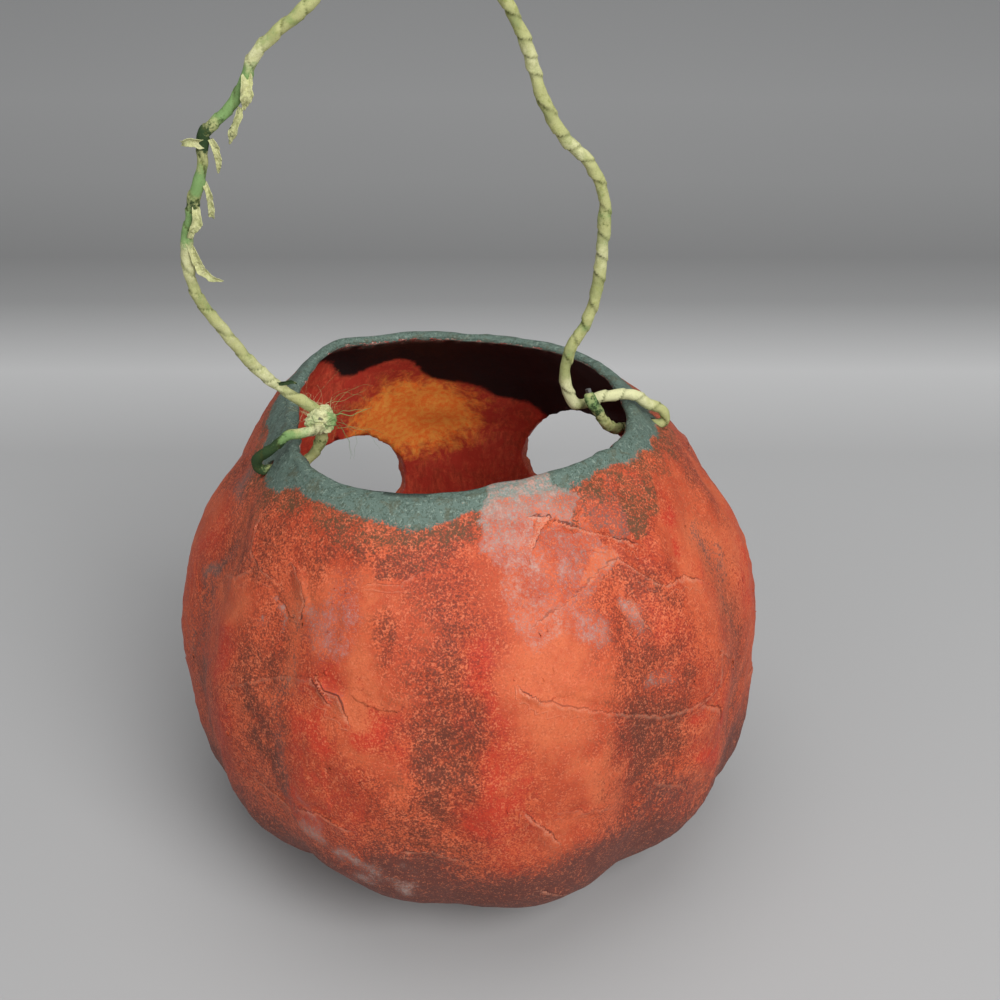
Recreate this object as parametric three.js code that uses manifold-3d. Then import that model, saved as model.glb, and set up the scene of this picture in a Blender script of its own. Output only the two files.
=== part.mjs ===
// Paper mache jack-o-lantern pail with a tape-wrapped wire bail. Millimetres, +Z up.
// It stands on z = 0 with its face toward -Y, so its own left side is +X.
// A bearing is an angle in degrees round the body, from the face (-Y) toward +X.
// An inset is a depth under the painted skin, so a negative inset lies outside it.
import * as THREE from 'three';
import { mergeVertices } from 'three/addons/utils/BufferGeometryUtils.js';
import Module from 'manifold-3d';

// Body
const bodyRadius = 83;
const equatorHeight = 66;
const rimHeight = 134.2;      // top of the bare paper wall, under the binding
const crownReach = 16.2;       // how far past the rim the closing curve of the crown would top out
const crownFullness = 1.98;
const footReach = 1.2;         // how far under the floor the closing curve of the foot would bottom out
const footFullness = 2.75;
const wall = 4;
const rimWall = 1.6;          // the wall is pressed thin toward its cut edge
const thinningStart = 100;
const lean = 3;               // the crown sits this far toward +X over the base

// Lobes: the bearing of each groove between them
const grooves = [37, 75, 114, 141, 176, 216, 249, 285, 321, 358];
const grooveDepth = 3.2;
const grooveWidth = 9;
const groovesStart = 2;       // heights between which the grooves fade in, and then out again
const groovesFull = 23;
const groovesFading = 106;
const columnsPerLobe = 6;
const outerRows = 20;
const innerRows = 13;

// Hand-made unevenness: how many crests go round, how high they are in multiples of one
// measure, and the bearing of one crest. The waves of the foot change its fullness.
const unevenness = 0.6;
const girthWaves = [[2, 1.3, 150], [3, 1, 60]];
const rimOutlineWaves = [[1, 7, 62], [3, 3.7, 32], [4, 2.7, 52]];
const rimOutlineStart = 97;   // the outline of the rim fades in above this height
const rimLevelWaves = [[1, 1, 190], [2, 0.7, 20]];
const footWaves = [[2, 0.45, 95], [1, 0.12, 190], [4, 0.28, 184]];

// Places pressed in, or out where the depth is negative: bearing, height in hundredths of the
// height of the rim, the reach of each, and the depth in multiples of the same measure
const dents = [
  [90, 88.7, 22, 6.7, 4], [290, 99, 24, 6, 4], [50, 100, 9, 9, -3], [66, 100, 9, 7.5, 1.7],
  [183, 100, 26, 6, -1.5], [250, 100, 14, 6, -1.5],
];

// Strip of paper folded over the cut rim
const bindingThickness = 0.7;
const bindingGap = 0.34;
const bindingOuterDrop = 3.6;
const bindingInnerDrop = 2.4;
const bindingCrown = 0.35;    // the fold stands this much higher over the middle of the wall

// Face
const eyeLength = 45;
const eyeWidth = 31.5;
const eyeSlant = 43;          // degrees that each eye rises toward its own side
const leftEye = { bearing: 31, height: 75 };
const rightEye = { bearing: -26.5, height: 83 };
const noseWidth = 13;
const noseHeight = 12;
const noseLevel = 56;
const mouthWidth = 74;
const mouthOpening = 13;
const mouthSag = 15;
const mouthLevel = 43;        // height of the corners of the grin
const cutReach = 24;          // how far the cuts of the face reach to each side of the wall

// Torn sheets pasted over the body
const sheetThickness = 0.6;
const sheetSeat = 0.5;       // room for the paste between a sheet and the skin
const sheetRows = 4;

// Wire bail
const wireRadius = 0.8;
const wireStickOut = 0.8;     // bare wire past each end of the tape
const tapeBore = 0.3;         // clearance between the wire and the tape round it
const tapeThickness = 0.42;
const lapHeight = 0.22;
const lapPitch = 11;
const holeDrop = 6.4;         // from the bare rim down to the punched holes
const leftHoleBearing = 109;
const rightHoleBearing = 277;
const holeClearance = 0.4;
const swing = 18;             // degrees that the bail tips each way
const loopSpread = 16;        // degrees of rim each side of a hole that a tipped loop may lie over
const turnStart = 0.7;         // straight wire outside a hole before the turn
const turnRadius = 1.75;      // the tight turns of wire outside each hole
const rimClearance = 0.5;     // what is left over the rim when the bail is tipped

const degrees = Math.PI / 180;
const wasm = await Module();
wasm.setup();

const wave = (bearing, terms) =>
  terms.reduce((sum, [crests, height, crest]) => sum + height * Math.cos(crests * (bearing - crest) * degrees), 0);
const rise = (value, from, to) => THREE.MathUtils.smoothstep(value, from, to);
const bearingGap = (a, b) => Math.abs(THREE.MathUtils.euclideanModulo(a - b + 180, 360) - 180);

// The lobed skin of the body

function wallAt(height) {
  return THREE.MathUtils.lerp(wall, rimWall, rise(height, thinningStart, rimHeight));
}

function grooveAt(bearing, height) {
  const fade = rise(height, groovesStart, groovesFull) * (1 - rise(height, groovesFading, rimHeight));
  const cut = grooves.reduce((sum, groove) => sum + Math.exp(-((bearingGap(bearing, groove) / grooveWidth) ** 2)), 0);
  return grooveDepth * cut * fade;
}

const hundredth = rimHeight / 100;

function dentAt(bearing, height) {
  return dents.reduce((sum, [at, level, reachRound, reachUp, depth]) => {
    const off = (bearingGap(bearing, at) / reachRound) ** 2 + ((height / hundredth - level) / reachUp) ** 2;
    return sum + depth * Math.exp(-off);
  }, 0);
}

function skinRadius(bearing, height, inset) {
  const above = height > equatorHeight;
  const reach = above ? rimHeight - equatorHeight + crownReach : equatorHeight + footReach;
  const fullness = above ? crownFullness : footFullness + wave(bearing, footWaves);
  const share = Math.min(1, Math.abs(height - equatorHeight) / (reach - inset));
  const round = (bodyRadius - inset) * (1 - share ** fullness) ** (1 / fullness);
  const girth = wave(bearing, girthWaves) * rise(height, 0, equatorHeight);
  const mouth = wave(bearing, rimOutlineWaves) * rise(height, rimOutlineStart, rimHeight);
  return round + unevenness * (girth + mouth - dentAt(bearing, height)) - grooveAt(bearing, height);
}

function skinPoint(bearing, height, inset = 0) {
  const radius = skinRadius(bearing, height, inset);
  const shift = lean * rise(height, 0, equatorHeight);
  return new THREE.Vector3(shift + radius * Math.sin(bearing * degrees), -radius * Math.cos(bearing * degrees), height);
}

// Near the rim a height follows the uneven cut edge
function rimmed(bearing, height) {
  return height + unevenness * wave(bearing, rimLevelWaves) * Math.max(0, height / rimHeight) ** 8;
}

const columns = grooves.flatMap((groove, k) => {
  const next = grooves[(k + 1) % grooves.length];
  const step = THREE.MathUtils.euclideanModulo(next - groove, 360) / columnsPerLobe;
  return Array.from({ length: columnsPerLobe }, (_, j) => groove + j * step);
});

// Heights at equal steps along the mean profile, so that the flat foot gets its share of rows
function profileHeights(inset, from, to, count) {
  const samples = 600;
  const lengths = [0];
  let last = null;
  for (let k = 0; k <= samples; k++) {
    const height = THREE.MathUtils.lerp(from, to, k / samples);
    const here = new THREE.Vector2(skinRadius(grooves[0] + 180, height, inset), height);
    if (last) lengths.push(lengths[k - 1] + here.distanceTo(last));
    last = here;
  }
  return Array.from({ length: count + 1 }, (_, row) => {
    const wanted = (lengths[samples] * row) / count;
    const k = lengths.findIndex((length) => length >= wanted - 1e-9);
    return THREE.MathUtils.lerp(from, to, k / samples);
  });
}

// Meshes from rings and grids of points

function geometryOf(points, triangles) {
  const geometry = new THREE.BufferGeometry();
  geometry.setAttribute('position', new THREE.Float32BufferAttribute(points.flatMap((p) => p.toArray()), 3));
  geometry.setIndex(triangles.flat());
  return geometry;
}

// Rings of points joined in order; the ends are capped, or the last ring meets the first
function loft(rings, closed = false) {
  const sides = rings[0].length;
  const points = rings.flat();
  const triangles = [];
  const spans = closed ? rings.length : rings.length - 1;
  for (let row = 0; row < spans; row++) {
    const above = (row + 1) % rings.length;
    for (let k = 0; k < sides; k++) {
      const next = (k + 1) % sides;
      const corner = [row * sides + k, row * sides + next, above * sides + next, above * sides + k];
      triangles.push([corner[0], corner[1], corner[2]], [corner[0], corner[2], corner[3]]);
    }
  }
  if (!closed) {
    const cap = (ring, first, flip) => {
      const centre = ring.reduce((sum, p) => sum.add(p), new THREE.Vector3()).divideScalar(sides);
      points.push(centre);
      for (let k = 0; k < sides; k++) {
        const next = (k + 1) % sides;
        const edge = flip ? [first + next, first + k] : [first + k, first + next];
        triangles.push([...edge, points.length - 1]);
      }
    };
    cap(rings[0], 0, true);
    cap(rings[rings.length - 1], (rings.length - 1) * sides, false);
  }
  return facingOut(geometryOf(points, triangles));
}

// Two like grids of points, one over the other, closed round their edges
function slab(upper, lower) {
  const rows = upper.length;
  const width = upper[0].length;
  const ring = (grid) => [
    ...grid[0],
    ...grid.slice(1, -1).map((row) => row[width - 1]),
    ...[...grid[rows - 1]].reverse(),
    ...grid.slice(1, -1).map((row) => row[0]).reverse(),
  ];
  const points = [...upper.flat(), ...lower.flat()];
  const place = new Map(points.map((point, index) => [point, index]));
  const triangles = [];
  const half = rows * width;
  for (let row = 0; row + 1 < rows; row++) {
    for (let k = 0; k + 1 < width; k++) {
      const [a, b, c, d] = [row * width + k, row * width + k + 1, (row + 1) * width + k + 1, (row + 1) * width + k];
      triangles.push([a, b, c], [a, c, d], [half + a, half + c, half + b], [half + a, half + d, half + c]);
    }
  }
  const [top, bottom] = [ring(upper), ring(lower)];
  top.forEach((point, k) => {
    const next = (k + 1) % top.length;
    const [a, b, c, d] = [point, top[next], bottom[next], bottom[k]].map((corner) => place.get(corner));
    triangles.push([a, c, b], [a, d, c]);
  });
  return facingOut(geometryOf(points, triangles));
}

function facingOut(geometry) {
  const position = geometry.getAttribute('position');
  const index = geometry.getIndex();
  const [a, b, c] = [new THREE.Vector3(), new THREE.Vector3(), new THREE.Vector3()];
  let volume = 0;
  for (let k = 0; k < index.count; k += 3) {
    a.fromBufferAttribute(position, index.getX(k));
    b.fromBufferAttribute(position, index.getX(k + 1));
    c.fromBufferAttribute(position, index.getX(k + 2));
    volume += a.dot(b.cross(c));
  }
  if (volume < 0) {
    for (let k = 0; k < index.count; k += 3) {
      const swap = index.getX(k + 1);
      index.setX(k + 1, index.getX(k + 2));
      index.setX(k + 2, swap);
    }
  }
  return geometry;
}

function solidOf(geometry) {
  const bare = geometry.clone();
  bare.deleteAttribute('normal');
  bare.deleteAttribute('uv');
  const merged = mergeVertices(bare, 1e-4);
  return new wasm.Manifold(new wasm.Mesh({
    numProp: 3,
    vertProperties: new Float32Array(merged.getAttribute('position').array),
    triVerts: new Uint32Array(merged.getIndex().array),
  }));
}

function geometryFrom(solid) {
  const { vertProperties, triVerts } = solid.getMesh();
  const geometry = new THREE.BufferGeometry();
  geometry.setAttribute('position', new THREE.BufferAttribute(new Float32Array(vertProperties), 3));
  geometry.setIndex(new THREE.BufferAttribute(new Uint32Array(triVerts), 1));
  return geometry;
}

// The line through the two punched holes, on which the bail swings

const holeHeight = rimHeight - holeDrop;
const leftHole = skinPoint(leftHoleBearing, holeHeight);
const rightHole = skinPoint(rightHoleBearing, holeHeight);
const span = new THREE.Vector3().subVectors(rightHole, leftHole).normalize();
const up = new THREE.Vector3(0, 0, 1);
const aside = new THREE.Vector3().crossVectors(span, up);
const tapeRadius = wireRadius + tapeBore + tapeThickness;
const tapeMost = tapeRadius + lapHeight;
const holeSides = 16;
const holeRadius = (tapeMost + holeClearance) / Math.cos(Math.PI / holeSides);

function holeCutter(hole, inward) {
  const length = 8 * wall;
  const cutter = new THREE.CylinderGeometry(holeRadius, holeRadius, length, holeSides);
  cutter.applyQuaternion(new THREE.Quaternion().setFromUnitVectors(new THREE.Vector3(0, 1, 0), span));
  const centre = hole.clone().addScaledVector(inward, wall);
  return cutter.translate(centre.x, centre.y, centre.z);
}

// Openings of the face, each cut square to the wall where it lies

function faceCutter(shape, bearing, height) {
  const cutter = new THREE.ExtrudeGeometry(shape, { depth: 2 * cutReach, bevelEnabled: false, curveSegments: 10 });
  cutter.translate(0, 0, -cutReach);
  cutter.rotateX(Math.PI / 2);
  cutter.rotateZ(bearing * degrees);
  const centre = skinPoint(bearing, height, wallAt(height) / 2);
  return cutter.translate(centre.x, centre.y, height);
}

function eyeShape(slant) {
  const shape = new THREE.Shape();
  shape.absellipse(0, 0, eyeLength / 2, eyeWidth / 2, 0, 2 * Math.PI, false, slant * degrees);
  return shape;
}

function noseShape() {
  const shape = new THREE.Shape();
  shape.moveTo(-noseWidth / 2, -noseHeight / 2);
  shape.quadraticCurveTo(-noseWidth / 4, 0, 0, noseHeight / 2);
  shape.quadraticCurveTo(noseWidth / 4, 0, noseWidth / 2, -noseHeight / 2);
  shape.quadraticCurveTo(0, -0.35 * noseHeight, -noseWidth / 2, -noseHeight / 2);
  return shape;
}

function grinShape() {
  const shape = new THREE.Shape();
  const low = -2 * mouthSag;
  shape.moveTo(-mouthWidth / 2, 0);
  shape.quadraticCurveTo(0, low - mouthOpening, mouthWidth / 2, 0);
  shape.quadraticCurveTo(0, low + mouthOpening, -mouthWidth / 2, 0);
  return shape;
}

// Body of layered paper

function paperShell() {
  const ring = (height, depth) => columns.map((bearing) => {
    const level = rimmed(bearing, height);
    return skinPoint(bearing, level, depth);
  });
  const outer = [...profileHeights(0, 0, rimHeight - bindingOuterDrop, outerRows), rimHeight]
    .map((height) => ring(height, 0));
  const inner = [...profileHeights(wall, wall, rimHeight - bindingInnerDrop, innerRows), rimHeight].reverse()
    .map((height) => ring(height, wallAt(height)));
  let solid = solidOf(loft([...outer, ...inner]));
  const cutters = [
    faceCutter(eyeShape(eyeSlant), leftEye.bearing, leftEye.height),
    faceCutter(eyeShape(-eyeSlant), rightEye.bearing, rightEye.height),
    faceCutter(noseShape(), 0, noseLevel),
    faceCutter(grinShape(), 0, mouthLevel),
    holeCutter(leftHole, span),
    holeCutter(rightHole, span.clone().negate()),
  ];
  for (const cutter of cutters) solid = solid.subtract(solidOf(cutter));
  return geometryFrom(solid);
}

function rimBinding() {
  const gap = bindingGap;
  const skin = gap + bindingThickness;
  const middle = rimWall / 2;
  const section = [
    [-skin, -bindingOuterDrop], [-skin, 0], [-0.5 * skin, skin], [middle, skin + bindingCrown],
    [rimWall + 0.5 * skin, skin], [rimWall + skin, 0], [rimWall + skin, -bindingInnerDrop],
    [rimWall + gap, -bindingInnerDrop], [rimWall + gap, gap], [-gap, gap], [-gap, -bindingOuterDrop],
  ];
  const rings = columns.map((bearing) =>
    section.map(([depth, over]) => skinPoint(bearing, rimmed(bearing, rimHeight + over), depth)));
  return loft(rings, true);
}

// Torn sheets: the heights of the top and bottom edges, in hundredths of the height of the
// rim, are given at the two ends and half way

function alongEdge([start, middle, end], share) {
  return start * (1 - share) * (1 - 2 * share) + 4 * middle * share * (1 - share) + end * share * (2 * share - 1);
}

function tornSheet({ from, to, top, bottom }) {
  const inside = columns.map((bearing) => from + THREE.MathUtils.euclideanModulo(bearing - from, 360))
    .filter((bearing) => bearing > from + 1 && bearing < to - 1).sort((a, b) => a - b);
  const bearings = [from, ...inside, to];
  const grid = (inset) => Array.from({ length: sheetRows + 1 }, (_, row) => bearings.map((bearing) => {
    const share = (bearing - from) / (to - from);
    const level = THREE.MathUtils.lerp(alongEdge(bottom, share), alongEdge(top, share), row / sheetRows);
    return skinPoint(bearing, level * hundredth, inset);
  }));
  return slab(grid(-sheetSeat - sheetThickness), grid(-sheetSeat));
}

const sheets = {
  sheet_shoulder_back: { from: 194, to: 221, top: [93.9, 95, 93.1], bottom: [84.9, 87.9, 89.4] },
  sheet_shoulder_right: { from: 224, to: 247, top: [90.2, 89.4, 84.9], bottom: [84.2, 81.2, 76] },
  sheet_right_back: { from: 195, to: 229, top: [82.7, 83.5, 78.2], bottom: [72.3, 64.1, 58.1] },
  sheet_right_low: { from: 222, to: 246, top: [55.9, 56.6, 61.1], bottom: [43.2, 38.7, 44.7] },
  sheet_shoulder_left: { from: 123, to: 147, top: [90.9, 91.7, 87.9], bottom: [87.2, 79, 77.5] },
  sheet_middle_back: { from: 152, to: 190, top: [87.9, 88.7, 86.4], bottom: [73, 69.3, 74.5] },
  sheet_left_low: { from: 130, to: 157, top: [61.8, 68.6, 67.1], bottom: [44.7, 41.7, 44.7] },
  sheet_middle_low: { from: 161, to: 190, top: [62.6, 61.1, 59.6], bottom: [43.2, 37.3, 46.2] },
  sheet_left_side: { from: 80, to: 112, top: [73, 76, 68.6], bottom: [53.7, 49.2, 55.1] },
  sheet_right_side: { from: 264, to: 298, top: [68.6, 75.3, 73], bottom: [52.2, 47.7, 53.7] },
  sheet_brow: { from: -8, to: 12, top: [88.7, 90.2, 87.9], bottom: [79.7, 77.5, 80.5] },
};

// Route of the bail: [in from a hole, above it, to the side], chosen by hand. The two loops
// round the rim are worked out from the rim; what stands above them is bent freehand.

const lip = (bearing, depth) => skinPoint(bearing, rimmed(bearing, rimHeight), depth);
const inwardOf = (point, hole) => Math.abs(new THREE.Vector3().subVectors(point, hole).dot(span));
const bindingSkin = bindingGap + bindingThickness;
const nearHoles = columns.filter((bearing) =>
  [leftHoleBearing, rightHoleBearing].some((hole) => bearingGap(bearing, hole) < loopSpread));
const rimTop = holeDrop + bindingSkin + bindingCrown
  + unevenness * Math.max(...nearHoles.map((bearing) => wave(bearing, rimLevelWaves)));
const overRim = (rimTop + rimClearance + tapeMost) / Math.cos(swing * degrees);

function rimLoop(hole, bearing) {
  const outside = inwardOf(lip(bearing, -bindingSkin), hole);
  const inside = inwardOf(lip(bearing, rimWall + bindingSkin), hole);
  return {
    outside,
    inside,
    turn: [
      [inside * 0.45, 0, 0], [0, 0, 0], [-turnStart, 0, 0],
      [-turnStart - 0.9 * turnRadius, 0.55 * turnRadius, 0], [-turnStart - 0.95 * turnRadius, 1.6 * turnRadius, 0],
      [-0.9 - 0.2 * turnRadius, 0.43 * overRim, 0], [0.42 * outside, 0.64 * overRim, 0], [outside + 1, 0.96 * overRim, 0],
    ],
  };
}

const leftLoop = rimLoop(leftHole, leftHoleBearing);
const rightLoop = rimLoop(rightHole, rightHoleBearing);

const rightTip = [
  [20.8, 14.4, 3.6], [20.3, 12, 4.4], [18.9, 9.6, 4.6], [17.1, 6.4, 4.3], [15.2, 3.6, 3.3], [12.8, 1.4, 1.7], [9.2, 0.1, 0.2],
];
const rightStanding = [
  [16.4, 10.4], [18.8, 9.5], [21.3, 8.9], [23.6, 9.5], [25.2, 12.6], [26.3, 17], [26, 22], [24.6, 27.1],
  [22.2, 30.5], [19.9, 36], [18.3, 43], [17.5, 52], [17.1, 61], [17.4, 66.5], [19.2, 72], [22.6, 77.3],
  [27.4, 82], [30.8, 87.2], [34, 93.4, 0.3], [35.6, 99, 0.3], [37.6, 105, 0.4], [39.3, 109.2, 0.4],
  [43.6, 117.6, 0.8], [50.5, 128, 1],
];
const leftStanding = [
  [46, 134, 0.8], [34.5, 129.8, 0.4], [24, 121.6], [16.5, 115.8], [11.4, 112], [6, 107.1], [3.5, 101.8], [0.6, 97],
  [-4.1, 92.7], [-6.9, 90.1], [-7.6, 86.4], [-8, 82.2], [-10.1, 76.6], [-12, 70.8], [-13.5, 65], [-13.9, 60.5],
  [-13.3, 53.2], [-11, 47.2], [-6.9, 40.3], [-2.6, 33.2], [3, 25.9], [10.1, 19.3], [14.8, 14.8], [15.9, 11.4],
  [15.2, 8.4], [14.2, 5.8], [12.2, 2.7], [8.6, 0.2],
];

const toLeft = ([inward, above, side = 0]) => leftHole.clone()
  .addScaledVector(span, inward).addScaledVector(up, above).addScaledVector(aside, side);
const toRight = ([inward, above, side = 0]) => rightHole.clone()
  .addScaledVector(span, -inward).addScaledVector(up, above).addScaledVector(aside, side);

// On the left the short end comes back beside the standing wire, where crepe binds the two.
// The last points of its turn are moved up and aside step by step.
const besideWire = 2 * tapeMost + 0.6;
const stepUp = 0.45;
const stepAside = 0.3 * besideWire;
const leftTurn = leftLoop.turn.map(([inward, above], k) => {
  const steps = Math.max(0, k - 4);
  return [inward, above + stepUp * steps, stepAside * steps];
});
const leftEnd = [
  [leftLoop.inside - 1, overRim + 1.3, besideWire], [leftLoop.inside + 1.8, overRim + 2.2, besideWire],
  [leftLoop.inside + 3.4, overRim + 4.6, besideWire],
];
const rightOver = [[rightLoop.inside - 1, overRim, 0]];

const route = [
  ...[...rightTip, ...rightLoop.turn, ...rightOver, ...rightStanding].map(toRight),
  ...[...leftStanding, ...leftTurn, ...leftEnd].map(toLeft),
];

// Points and a frame that doesn't twist along a curve through the route
function wireStations(points, stepsPerSpan) {
  const curve = new THREE.CatmullRomCurve3(points, false, 'centripetal');
  const count = (points.length - 1) * stepsPerSpan;
  const places = Array.from({ length: count + 1 }, (_, k) => curve.getPoint(k / count));
  let across = new THREE.Vector3(0, 1, 0);
  let length = 0;
  return places.map((place, k) => {
    const tangent = new THREE.Vector3()
      .subVectors(places[Math.min(k + 1, count)], places[Math.max(k - 1, 0)]).normalize();
    across = across.clone().addScaledVector(tangent, -across.dot(tangent)).normalize();
    if (k > 0) length += place.distanceTo(places[k - 1]);
    return { place, tangent, across, beside: new THREE.Vector3().crossVectors(tangent, across), length };
  });
}

function ringAt({ place, across, beside, length }, sides, radiusAt) {
  return Array.from({ length: sides }, (_, k) => {
    const turn = (2 * Math.PI * k) / sides;
    const radius = radiusAt(k / sides, length);
    return place.clone().addScaledVector(across, radius * Math.cos(turn)).addScaledVector(beside, radius * Math.sin(turn));
  });
}

const stations = wireStations(route, 2);

function leastSelfGap() {
  const apart = 6 * tapeMost;
  let least = Infinity;
  for (const one of stations) {
    for (const other of stations) {
      if (other.length - one.length > apart) least = Math.min(least, one.place.distanceTo(other.place));
    }
  }
  return least - 2 * tapeMost;
}
console.log(`bail: ${stations.at(-1).length.toFixed(0)} mm of wire, least gap to itself ${leastSelfGap().toFixed(2)} mm`);
console.log(`hinge: left hole ${leftHole.toArray().map((v) => v.toFixed(3))}, line ${span.toArray().map((v) => v.toFixed(5))}`);

// The same stations with both ends of the run moved out along the wire
function lengthened(run, more) {
  const moved = run.map((station) => ({ ...station, place: station.place.clone() }));
  moved[0].place.addScaledVector(moved[0].tangent, -more);
  moved.at(-1).place.addScaledVector(moved.at(-1).tangent, more);
  return moved;
}

function handleWire() {
  const sides = 5;
  return loft(lengthened(stations, wireStickOut).map((station) => ringAt(station, sides, () => wireRadius)));
}

// Crepe tape wound round the wire: each turn laps over the one before it
function handleTape() {
  const sides = 7;
  const lap = (share, length) => {
    const turns = share + length / lapPitch;
    return tapeRadius + lapHeight * (1 - (turns - Math.floor(turns)));
  };
  const bore = (wireRadius + tapeBore) / Math.cos(Math.PI / sides);
  const outer = stations.map((station) => ringAt(station, sides, lap));
  const inner = stations.map((station) => ringAt(station, sides, () => bore)).reverse();
  return loft([...outer, ...inner], true);
}

// Crumpled crepe that binds the short end of the wire to the standing part
const knotSize = [5, 4.2, 5];
const knotGap = 0.35;
const knotCentre = [leftLoop.inside + 3.6, overRim + 4.2, 0.5 * besideWire];
const wireInKnot = 14;       // how far from the centre of the knot the wire is looked at
const runBreak = 6;          // a longer step along the wire starts another run through the knot

function leftKnot() {
  const ball = new THREE.SphereGeometry(1, 12, 9);
  const place = ball.getAttribute('position');
  const centre = toLeft(knotCentre);
  for (let k = 0; k < place.count; k++) {
    const p = new THREE.Vector3().fromBufferAttribute(place, k);
    const crumple = 1 + 0.1 * Math.sin(5 * p.x + 3 * p.y) * Math.cos(4 * p.z - 2 * p.x);
    const point = centre.clone()
      .addScaledVector(span, p.x * knotSize[0] * crumple)
      .addScaledVector(up, p.y * knotSize[1] * crumple)
      .addScaledVector(aside, p.z * knotSize[2] * crumple);
    place.setXYZ(k, point.x, point.y, point.z);
  }
  const near = stations.filter(({ place: p }) => p.distanceTo(centre) < wireInKnot);
  const runs = [[]];
  near.forEach((station, k) => {
    if (k && station.length - near[k - 1].length > runBreak) runs.push([]);
    runs.at(-1).push(station);
  });
  let solid = solidOf(ball);
  for (const run of runs) {
    const room = lengthened(run, wireStickOut + knotGap);
    solid = solid.subtract(solidOf(loft(room.map((station) => ringAt(station, 8, () => tapeMost + knotGap)))));
  }
  return geometryFrom(solid);
}

// Loose scraps and torn ends of tape: [in from the left hole, above it, to the side, width]
const scrapThickness = 0.45;
const scraps = {
  tape_end_kink: [[-9.2, 88.8, 0.8, 2.4], [-11, 89.1, 1, 2], [-12.7, 88.5, 0.6, 1.5]],
  tape_flap_upper: [[3.6, 102.1, 2.4, 2.2], [3.6, 100, 2.6, 3.4], [3.3, 98.2, 2.3, 2.8], [2.7, 96.1, 1.7, 1.2]],
  tape_flap_lower: [[2, 95.8, 1.7, 1.6], [1, 93.6, 1.9, 2.4], [-0.3, 91.2, 1.8, 2.2], [-1.1, 88.4, 1.2, 1.2]],
  tape_flap_curl: [[-4.8, 88.4, 1.5, 1.6], [-4.4, 86.7, 1.7, 2.6], [-4.3, 84.7, 1.4, 1.8], [-4.4, 81.6, 0.6, 0.9]],
  tape_strip_hanging: [[-7, 78.4, 1.5, 1], [-7, 76.1, 1.4, 1.6], [-7, 73.4, 1.2, 1.8], [-7.1, 70.5, 0.6, 1.8]],
  tape_fold_front: [[-10.9, 72.9, 2.5, 1.8], [-10.9, 71, 2.7, 2.6], [-11.8, 69, 2.6, 2.4], [-12.8, 66.7, 2.5, 1.2]],
  tape_flap_big: [[-13.2, 65.6, 2.4, 1.2], [-11.8, 62.2, 1.8, 2.4], [-10.8, 58.7, 1.5, 2.8], [-8.8, 55.9, 1, 2.2], [-6.3, 54.1, 0.8, 0.9]],
  tape_nib_low: [[6.3, 26.6, 0.5, 0.9], [7.7, 25.8, 0.8, 1.2], [9.9, 24.2, 0.2, 0.8]],
};

function tapeScrap(points) {
  const line = new THREE.CatmullRomCurve3(points.map(([inward, above, side]) => new THREE.Vector3(inward, above, side)));
  const steps = 6;
  const rows = Array.from({ length: steps + 1 }, (_, k) => {
    const share = k / steps;
    const place = line.getPoint(share);
    const tangent = line.getTangent(share);
    const across = new THREE.Vector3(-tangent.y, tangent.x, 0).normalize();
    const at = share * (points.length - 1);
    const low = Math.min(Math.floor(at), points.length - 2);
    const width = THREE.MathUtils.lerp(points[low][3], points[low + 1][3], at - low);
    return { place, across, width };
  });
  const grid = (side) => rows.map(({ place, across, width }) => [-0.5, 0, 0.5].map((share) => toLeft([
    place.x + across.x * share * width, place.y + across.y * share * width,
    place.z + side * scrapThickness / 2 + 0.25 * Math.abs(share) * width,
  ])));
  return slab(grid(1), grid(-1));
}

// The assembly

const group = new THREE.Group();

function add(name, geometry, colour, roughness, metalness = 0) {
  const mesh = new THREE.Mesh(geometry, new THREE.MeshStandardMaterial({ color: colour, roughness, metalness }));
  mesh.name = name;
  group.add(mesh);
}

add('paper_shell', paperShell(), 0xb8532f, 0.75);
add('rim_binding', rimBinding(), 0x5a6f69, 0.8);
for (const [name, outline] of Object.entries(sheets)) add(name, tornSheet(outline), 0xc0603a, 0.75);
add('handle_wire', handleWire(), 0x8a8a84, 0.4, 0.9);
add('handle_tape', handleTape(), 0xbcc083, 0.9);
add('left_knot', leftKnot(), 0xa9b878, 0.95);
for (const [name, points] of Object.entries(scraps)) add(name, tapeScrap(points), 0xb5b884, 0.95);

export default group;
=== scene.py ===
# A hand-made paper mache jack-o-lantern with a wire bail wrapped in crepe tape.
# Lengths are in metres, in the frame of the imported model: the lantern stands on z = 0,
# its face looks toward -Y and its own left side is +X. A bearing is in degrees round the
# body, from the face toward +X. An inset is a depth under the painted skin.
import contextlib
import math

import bpy
import numpy as np
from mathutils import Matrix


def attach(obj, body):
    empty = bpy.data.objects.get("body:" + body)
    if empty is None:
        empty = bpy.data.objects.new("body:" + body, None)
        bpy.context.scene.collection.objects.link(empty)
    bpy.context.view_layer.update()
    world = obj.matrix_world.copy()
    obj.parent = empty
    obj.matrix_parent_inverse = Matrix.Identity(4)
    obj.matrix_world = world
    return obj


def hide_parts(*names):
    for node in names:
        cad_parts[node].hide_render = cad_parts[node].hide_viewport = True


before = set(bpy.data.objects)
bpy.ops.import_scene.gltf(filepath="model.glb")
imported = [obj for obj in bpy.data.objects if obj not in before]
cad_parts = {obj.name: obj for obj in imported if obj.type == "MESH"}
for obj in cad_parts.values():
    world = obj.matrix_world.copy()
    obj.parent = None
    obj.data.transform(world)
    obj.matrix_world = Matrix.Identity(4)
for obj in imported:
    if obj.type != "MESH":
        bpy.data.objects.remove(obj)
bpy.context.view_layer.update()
bpy.ops.object.select_all(action="DESELECT")
bpy.context.scene.view_settings.view_transform = "Standard"
mm = 0.001


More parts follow.
